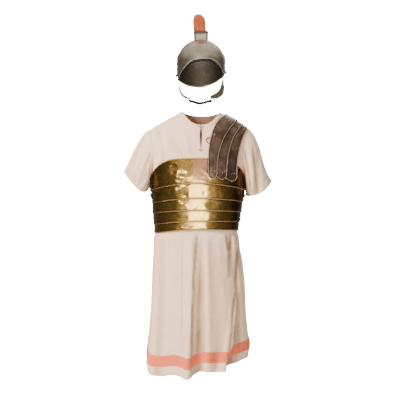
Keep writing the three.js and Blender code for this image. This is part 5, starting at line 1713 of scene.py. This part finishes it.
def make_tie(name, z, half, gap):
    """A soft twisted thread with a knot towards each end."""
    share = np.linspace(-1, 1, 30)
    x = NECK_CENTRE + half * share
    line = over_shoulder(x, turn_at(x, z - 3 * np.cos(math.pi * share), "front"), 2.2 + gap)
    swelling = 1.0 + 0.12 * np.sin(np.linspace(0, 30, 30)) + 1.3 * hump(np.abs(share), 0.86, 0.13)
    return piece(name + "_thread", sweep(line, swelling, 10), tie_thread, "thread", [name])


ties = [make_tie(*tie) for tie in TIES]
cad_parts["crest_box"].data.materials[0] = crest_iron
for name in ("ear_pivot_right", "ear_pivot_left"):
    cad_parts[name].data.materials[0] = dark_knob


# What repeats: bristles, rivets and stitches, set out by Geometry Nodes on points


TREE_INPUTS = {"Geometry": ("Geometry", None), "Seed": ("Int", 5), "Material": ("Material", None)}


def set_out(tree, come, go, instance, chance):
    """Puts an instance on each point, turned and sized by the point's own values and a little by chance."""

    def vector(name):
        made = add_node(tree, "GeometryNodeInputNamedAttribute", {"Name": name}, data_type="FLOAT_VECTOR")
        return made.outputs["Attribute"]

    turn = add_node(tree, "FunctionNodeAlignRotationToVector", {"Vector": vector("across")}, axis="X")
    inputs = {"Rotation": turn.outputs[0], "Vector": vector("along")}
    turn = add_node(tree, "FunctionNodeAlignRotationToVector", inputs, axis="Z")
    inputs = {2: 1 - chance, 3: 1 + chance, "Seed": come.outputs["Seed"]}
    grown = add_node(tree, "FunctionNodeRandomValue", inputs, data_type="FLOAT")
    inputs = {0: vector("size"), "Scale": grown.outputs[1]}
    size = add_node(tree, "ShaderNodeVectorMath", inputs, operation="SCALE")
    inputs = {"Points": come.outputs["Geometry"], "Instance": instance}
    inputs.update({"Rotation": turn.outputs[0], "Scale": size.outputs[0]})
    placed = add_node(tree, "GeometryNodeInstanceOnPoints", inputs)
    real = add_node(tree, "GeometryNodeRealizeInstances", {0: placed.outputs[0]})
    inputs = {"Geometry": real.outputs[0], "Material": come.outputs["Material"]}
    connect(tree, go.inputs[0], add_node(tree, "GeometryNodeSetMaterial", inputs).outputs[0])
    return tree


def instance_tree(name, shape):
    inputs = {**TREE_INPUTS, **shape}
    return new_tree("GeometryNodeTree", name, inputs, {"Geometry": "Geometry"})


def bristle_tree():
    shape = {"Sides": ("Int", 3), "Foot radius": ("Float", 1.0), "Tip radius": ("Float", 0.35)}
    tree, come, go = instance_tree("bristles", shape)
    inputs = {"Depth": 1.0, "Side Segments": 2, "Vertices": come.outputs["Sides"]}
    inputs.update({"Radius Bottom": come.outputs["Foot radius"], "Radius Top": come.outputs["Tip radius"]})
    cone = add_node(tree, "GeometryNodeMeshCone", inputs, fill_type="TRIANGLE_FAN")
    return set_out(tree, come, go, cone.outputs["Mesh"], 0.05)


def knob_tree():
    shape = {"Segments": ("Int", 12), "Rings": ("Int", 6)}
    tree, come, go = instance_tree("knobs", shape)
    inputs = {"Radius": 1.0, "Segments": come.outputs["Segments"], "Rings": come.outputs["Rings"]}
    ball = add_node(tree, "GeometryNodeMeshUVSphere", inputs)
    soft = add_node(tree, "GeometryNodeSetShadeSmooth", {"Geometry": ball.outputs["Mesh"]})
    return set_out(tree, come, go, soft.outputs[0], 0.06)


BRISTLES = bristle_tree()
KNOBS = knob_tree()


def repeated(name, tree, settings, points, along, across, size, material, slot, nodes=(), **values):
    """A plain mesh of a tree's instances on points in millimetres. Size is in millimetres on each axis."""
    count = len(points)
    dots = bpy.data.meshes.new(name + "_points")
    dots.from_pydata(np.asarray(points) * MM, [], [])
    for key, value in (("along", along), ("across", across), ("size", np.asarray(size, float) * MM)):
        data = dots.attributes.new(key, "FLOAT_VECTOR", "POINT").data
        data.foreach_set("vector", filled(value, 3 * count))
    for key, value in values.items():
        dots.attributes.new(key, "FLOAT", "POINT").data.foreach_set("value", filled(value, count))
    made = bpy.data.objects.new(name, dots)
    bpy.context.scene.collection.objects.link(made)
    modifier = made.modifiers.new("repeat", "NODES")
    modifier.node_group = tree
    settings = dict(settings, Material=material)
    for item in tree.interface.items_tree:
        if item.item_type == "SOCKET" and item.in_out == "INPUT" and item.name in settings:
            modifier[item.identifier] = settings[item.name]
    graph = bpy.context.evaluated_depsgraph_get()
    mesh = bpy.data.meshes.new_from_object(made.evaluated_get(graph), depsgraph=graph)
    made.modifiers.remove(modifier)
    made.data = mesh
    mesh.name = name
    return put_on_body(made, nodes)


# The crest box holds a block, and the bristles stand in it.
BOX = {"front": -57.0, "back": 78.0, "half": 27.0}
BLOCK_TOP = 31.0
PLUME = {
    "left": -21.5, "right": 20.5, "ends": 6.0, "around": 0.9, "sunk": 4.0, "length": 76.0, "thick": 0.85,
    "lean": 0.17, "spread": 0.06, "fan": 0.9, "stray": 0.022,
}


def dome_height(x, y):
    return BOWL["high"] * np.sqrt(np.clip(1 - (x / BOWL["wide"]) ** 2 - (y / BOWL["deep"]) ** 2, 0, 1))


def make_crest():
    """The plume: rows of bristles that fan out lengthways and lean a little to one side."""
    random = np.random.default_rng(17)
    files, rows = fine(86), fine(26)
    y = np.repeat(np.linspace(BOX["front"] + PLUME["ends"], BOX["back"] - PLUME["ends"], files), rows)
    side = np.tile(np.linspace(-1, 1, rows), files)
    around, stray = PLUME["around"], PLUME["stray"]
    x = mix(PLUME["left"], PLUME["right"], (side + 1) / 2) + random.uniform(-around, around, len(y))
    y = y + random.uniform(-around, around, len(y))
    root = HELMET + vec(x, y, dome_height(0, y) + BLOCK_TOP - PLUME["sunk"])
    middle, half = (BOX["front"] + BOX["back"]) / 2, (BOX["back"] - BOX["front"]) / 2
    lean = unit(vec(side * PLUME["spread"] - PLUME["lean"], (y - middle) / half * PLUME["fan"], 1))
    lean = unit(lean + random.normal(0, stray, lean.shape))
    tall = PLUME["length"] * (1 - 0.115 * side**2) * random.uniform(0.93, 1.0, len(y))
    tall = tall * (1 - 0.18 * np.abs(side) ** 5)
    # The edge value is painted shade on the plume's outer rows, a little broken up by chance
    edge = np.clip(np.abs(side) ** 6 * 0.9 + random.uniform(0, 0.15, len(y)), 0, 1)
    shade = random.uniform(0, 1, len(y))
    settings = {"Sides": 3, "Foot radius": 1.0, "Tip radius": 0.45, "Seed": 5}
    size = vec(PLUME["thick"], PLUME["thick"], tall)
    repeated(
        "crest_bristles", BRISTLES, settings, root, lean, (1, 0, 0), size, bristle, "bristle", ["crest"],
        shade=shade, edge=edge,
    )


def make_block():
    """The dark block in the crest box that the bristles stand in."""
    x, y = np.meshgrid(np.linspace(-24, 24, 14), np.linspace(BOX["front"] + 3, BOX["back"] - 3, 30))
    top = HELMET + vec(x, y, dome_height(0, y) + BLOCK_TOP - 3 + 0.4 * np.cos(x / 3))
    low = HELMET + vec(x, y, dome_height(x, y) + 1.2)
    piece("crest_block", wall(top, low), black_leather, "black_leather", edge=0.0)


make_crest()
make_block()


def make_rivets(name, material, seed, points, normals, across, size):
    settings = {"Segments": 14, "Rings": 8, "Seed": seed}
    repeated(name, KNOBS, settings, points, normals, across, size, material, "brass", edge=0.4, hollow=0.0)


def make_plate_rivets():
    """Small rivets near the plates' ends, where leathers behind them hold the plates together."""
    places = []
    for face, ends in (("front", (7, 173)), ("back", (187, 353))):
        for index in range(len(PLATES)):
            for phi in map(np.float64, ends):
                foot, top = plate_foot(index, phi), plate_top(index, phi)
                z = mix(foot, top - (0 if index == 0 else OVERLAP), 0.55)
                share = 0 if index == 0 else (z - foot) / (top - foot)
                lift = PLATE_LIFT[face] + mix(PLATE_FLARE, 0, share) + PLATE
                across = unit(form_point(phi + 0.5, z) - form_point(phi - 0.5, z))
                places.append((over_form(phi, z, lift), form_normal(phi, z), across))
    make_rivets("plate_rivets", brass_small, 7, *(np.array(part) for part in zip(*places)), (2.6, 2.6, 1.3))


LAME_RIVETS = table(
    # place across, turn over the shoulder, which lame
    "x turn lame",
    (50, 2.5, 0), (61, 2.5, 0), (92, 2.0, 1), (101, 2.6, 1), (128, 1.5, 2), (139, 2.0, 2),
    (150, 32, 2), (152, 24, 2), (121, 60, 0), (163, 60, 1), (184, 62, 2),
    (50, 177.5, 0), (61, 177.5, 0), (92, 178, 1), (101, 177.4, 1), (128, 178.5, 2), (139, 178, 2),
)


def make_lame_rivets():
    x, turn, lame = LAME_RIVETS["x"], LAME_RIVETS["turn"], LAME_RIVETS["lame"]
    points = over_shoulder(x, turn, lame_top(turn, lame))
    across = unit(shoulder_point(x, turn + 0.5) - shoulder_point(x, turn - 0.5))
    make_rivets("lame_rivets", stud_metal, 9, points, shoulder_normal(x, turn), across, (2.0, 2.0, 1.1))


make_plate_rivets()
make_lame_rivets()


# How thick a stitch is in millimetres
STITCH = 0.5


def stitches(name, line, normal, step, length):
    """A row of stitches along a line of points in millimetres."""
    along = np.concatenate([[0], np.cumsum(np.linalg.norm(np.diff(line, axis=0), axis=-1))])
    at = np.arange(step / 2, along[-1], step)

    def places(values, at):
        return np.stack([np.interp(at, along, values[:, k]) for k in range(3)], -1)

    points, out = places(line, at), unit(places(normal, at))
    across = unit(places(line, at + 0.5) - places(line, at - 0.5))
    size = (length / 2, STITCH / 2, STITCH / 2)
    settings = {"Segments": 6, "Rings": 4, "Seed": 3}
    repeated(name, KNOBS, settings, points, out, across, size, seam_thread, "thread")


# The hem is sewn at a row of the panel's points, and the binding at a distance from its edge
HEM_ROW = 3
BINDING_SEAM = 8.4
HEM_STITCH = (5.0, 3.0)


def make_stitches():
    for face, (_, outer) in ribbons.items():
        normal = grid_normals(outer, BELOW_HEM)
        for row, word in ((1, "low"), (len(outer) - 2, "high")):
            stitches(f"ribbon_stitches_{face}_{word}", outer[row], normal[row], 4.2, 2.6)
    for face, (_, points) in panels.items():
        normal = grid_normals(points, BELOW_HEM)[HEM_ROW]
        stitches(f"hem_stitches_{face}", points[HEM_ROW] + normal * 0.1, normal, *HEM_STITCH)
    for sleeve, outer, normal in sleeves:
        row = int(len(outer) * CUFF_SEAM)
        line, out = (np.concatenate([grid[row], grid[row][:1]]) for grid in (outer, normal))
        stitches(sleeve.name.replace("cloth", "stitches"), line + out * 0.1, out, *HEM_STITCH)
    low = binding_line(BINDING_SEAM, 1.75)
    stitches("neck_stitches", low, unit(binding_line(BINDING_SEAM, 2.75) - low), 3.6, 2.4)


make_stitches()
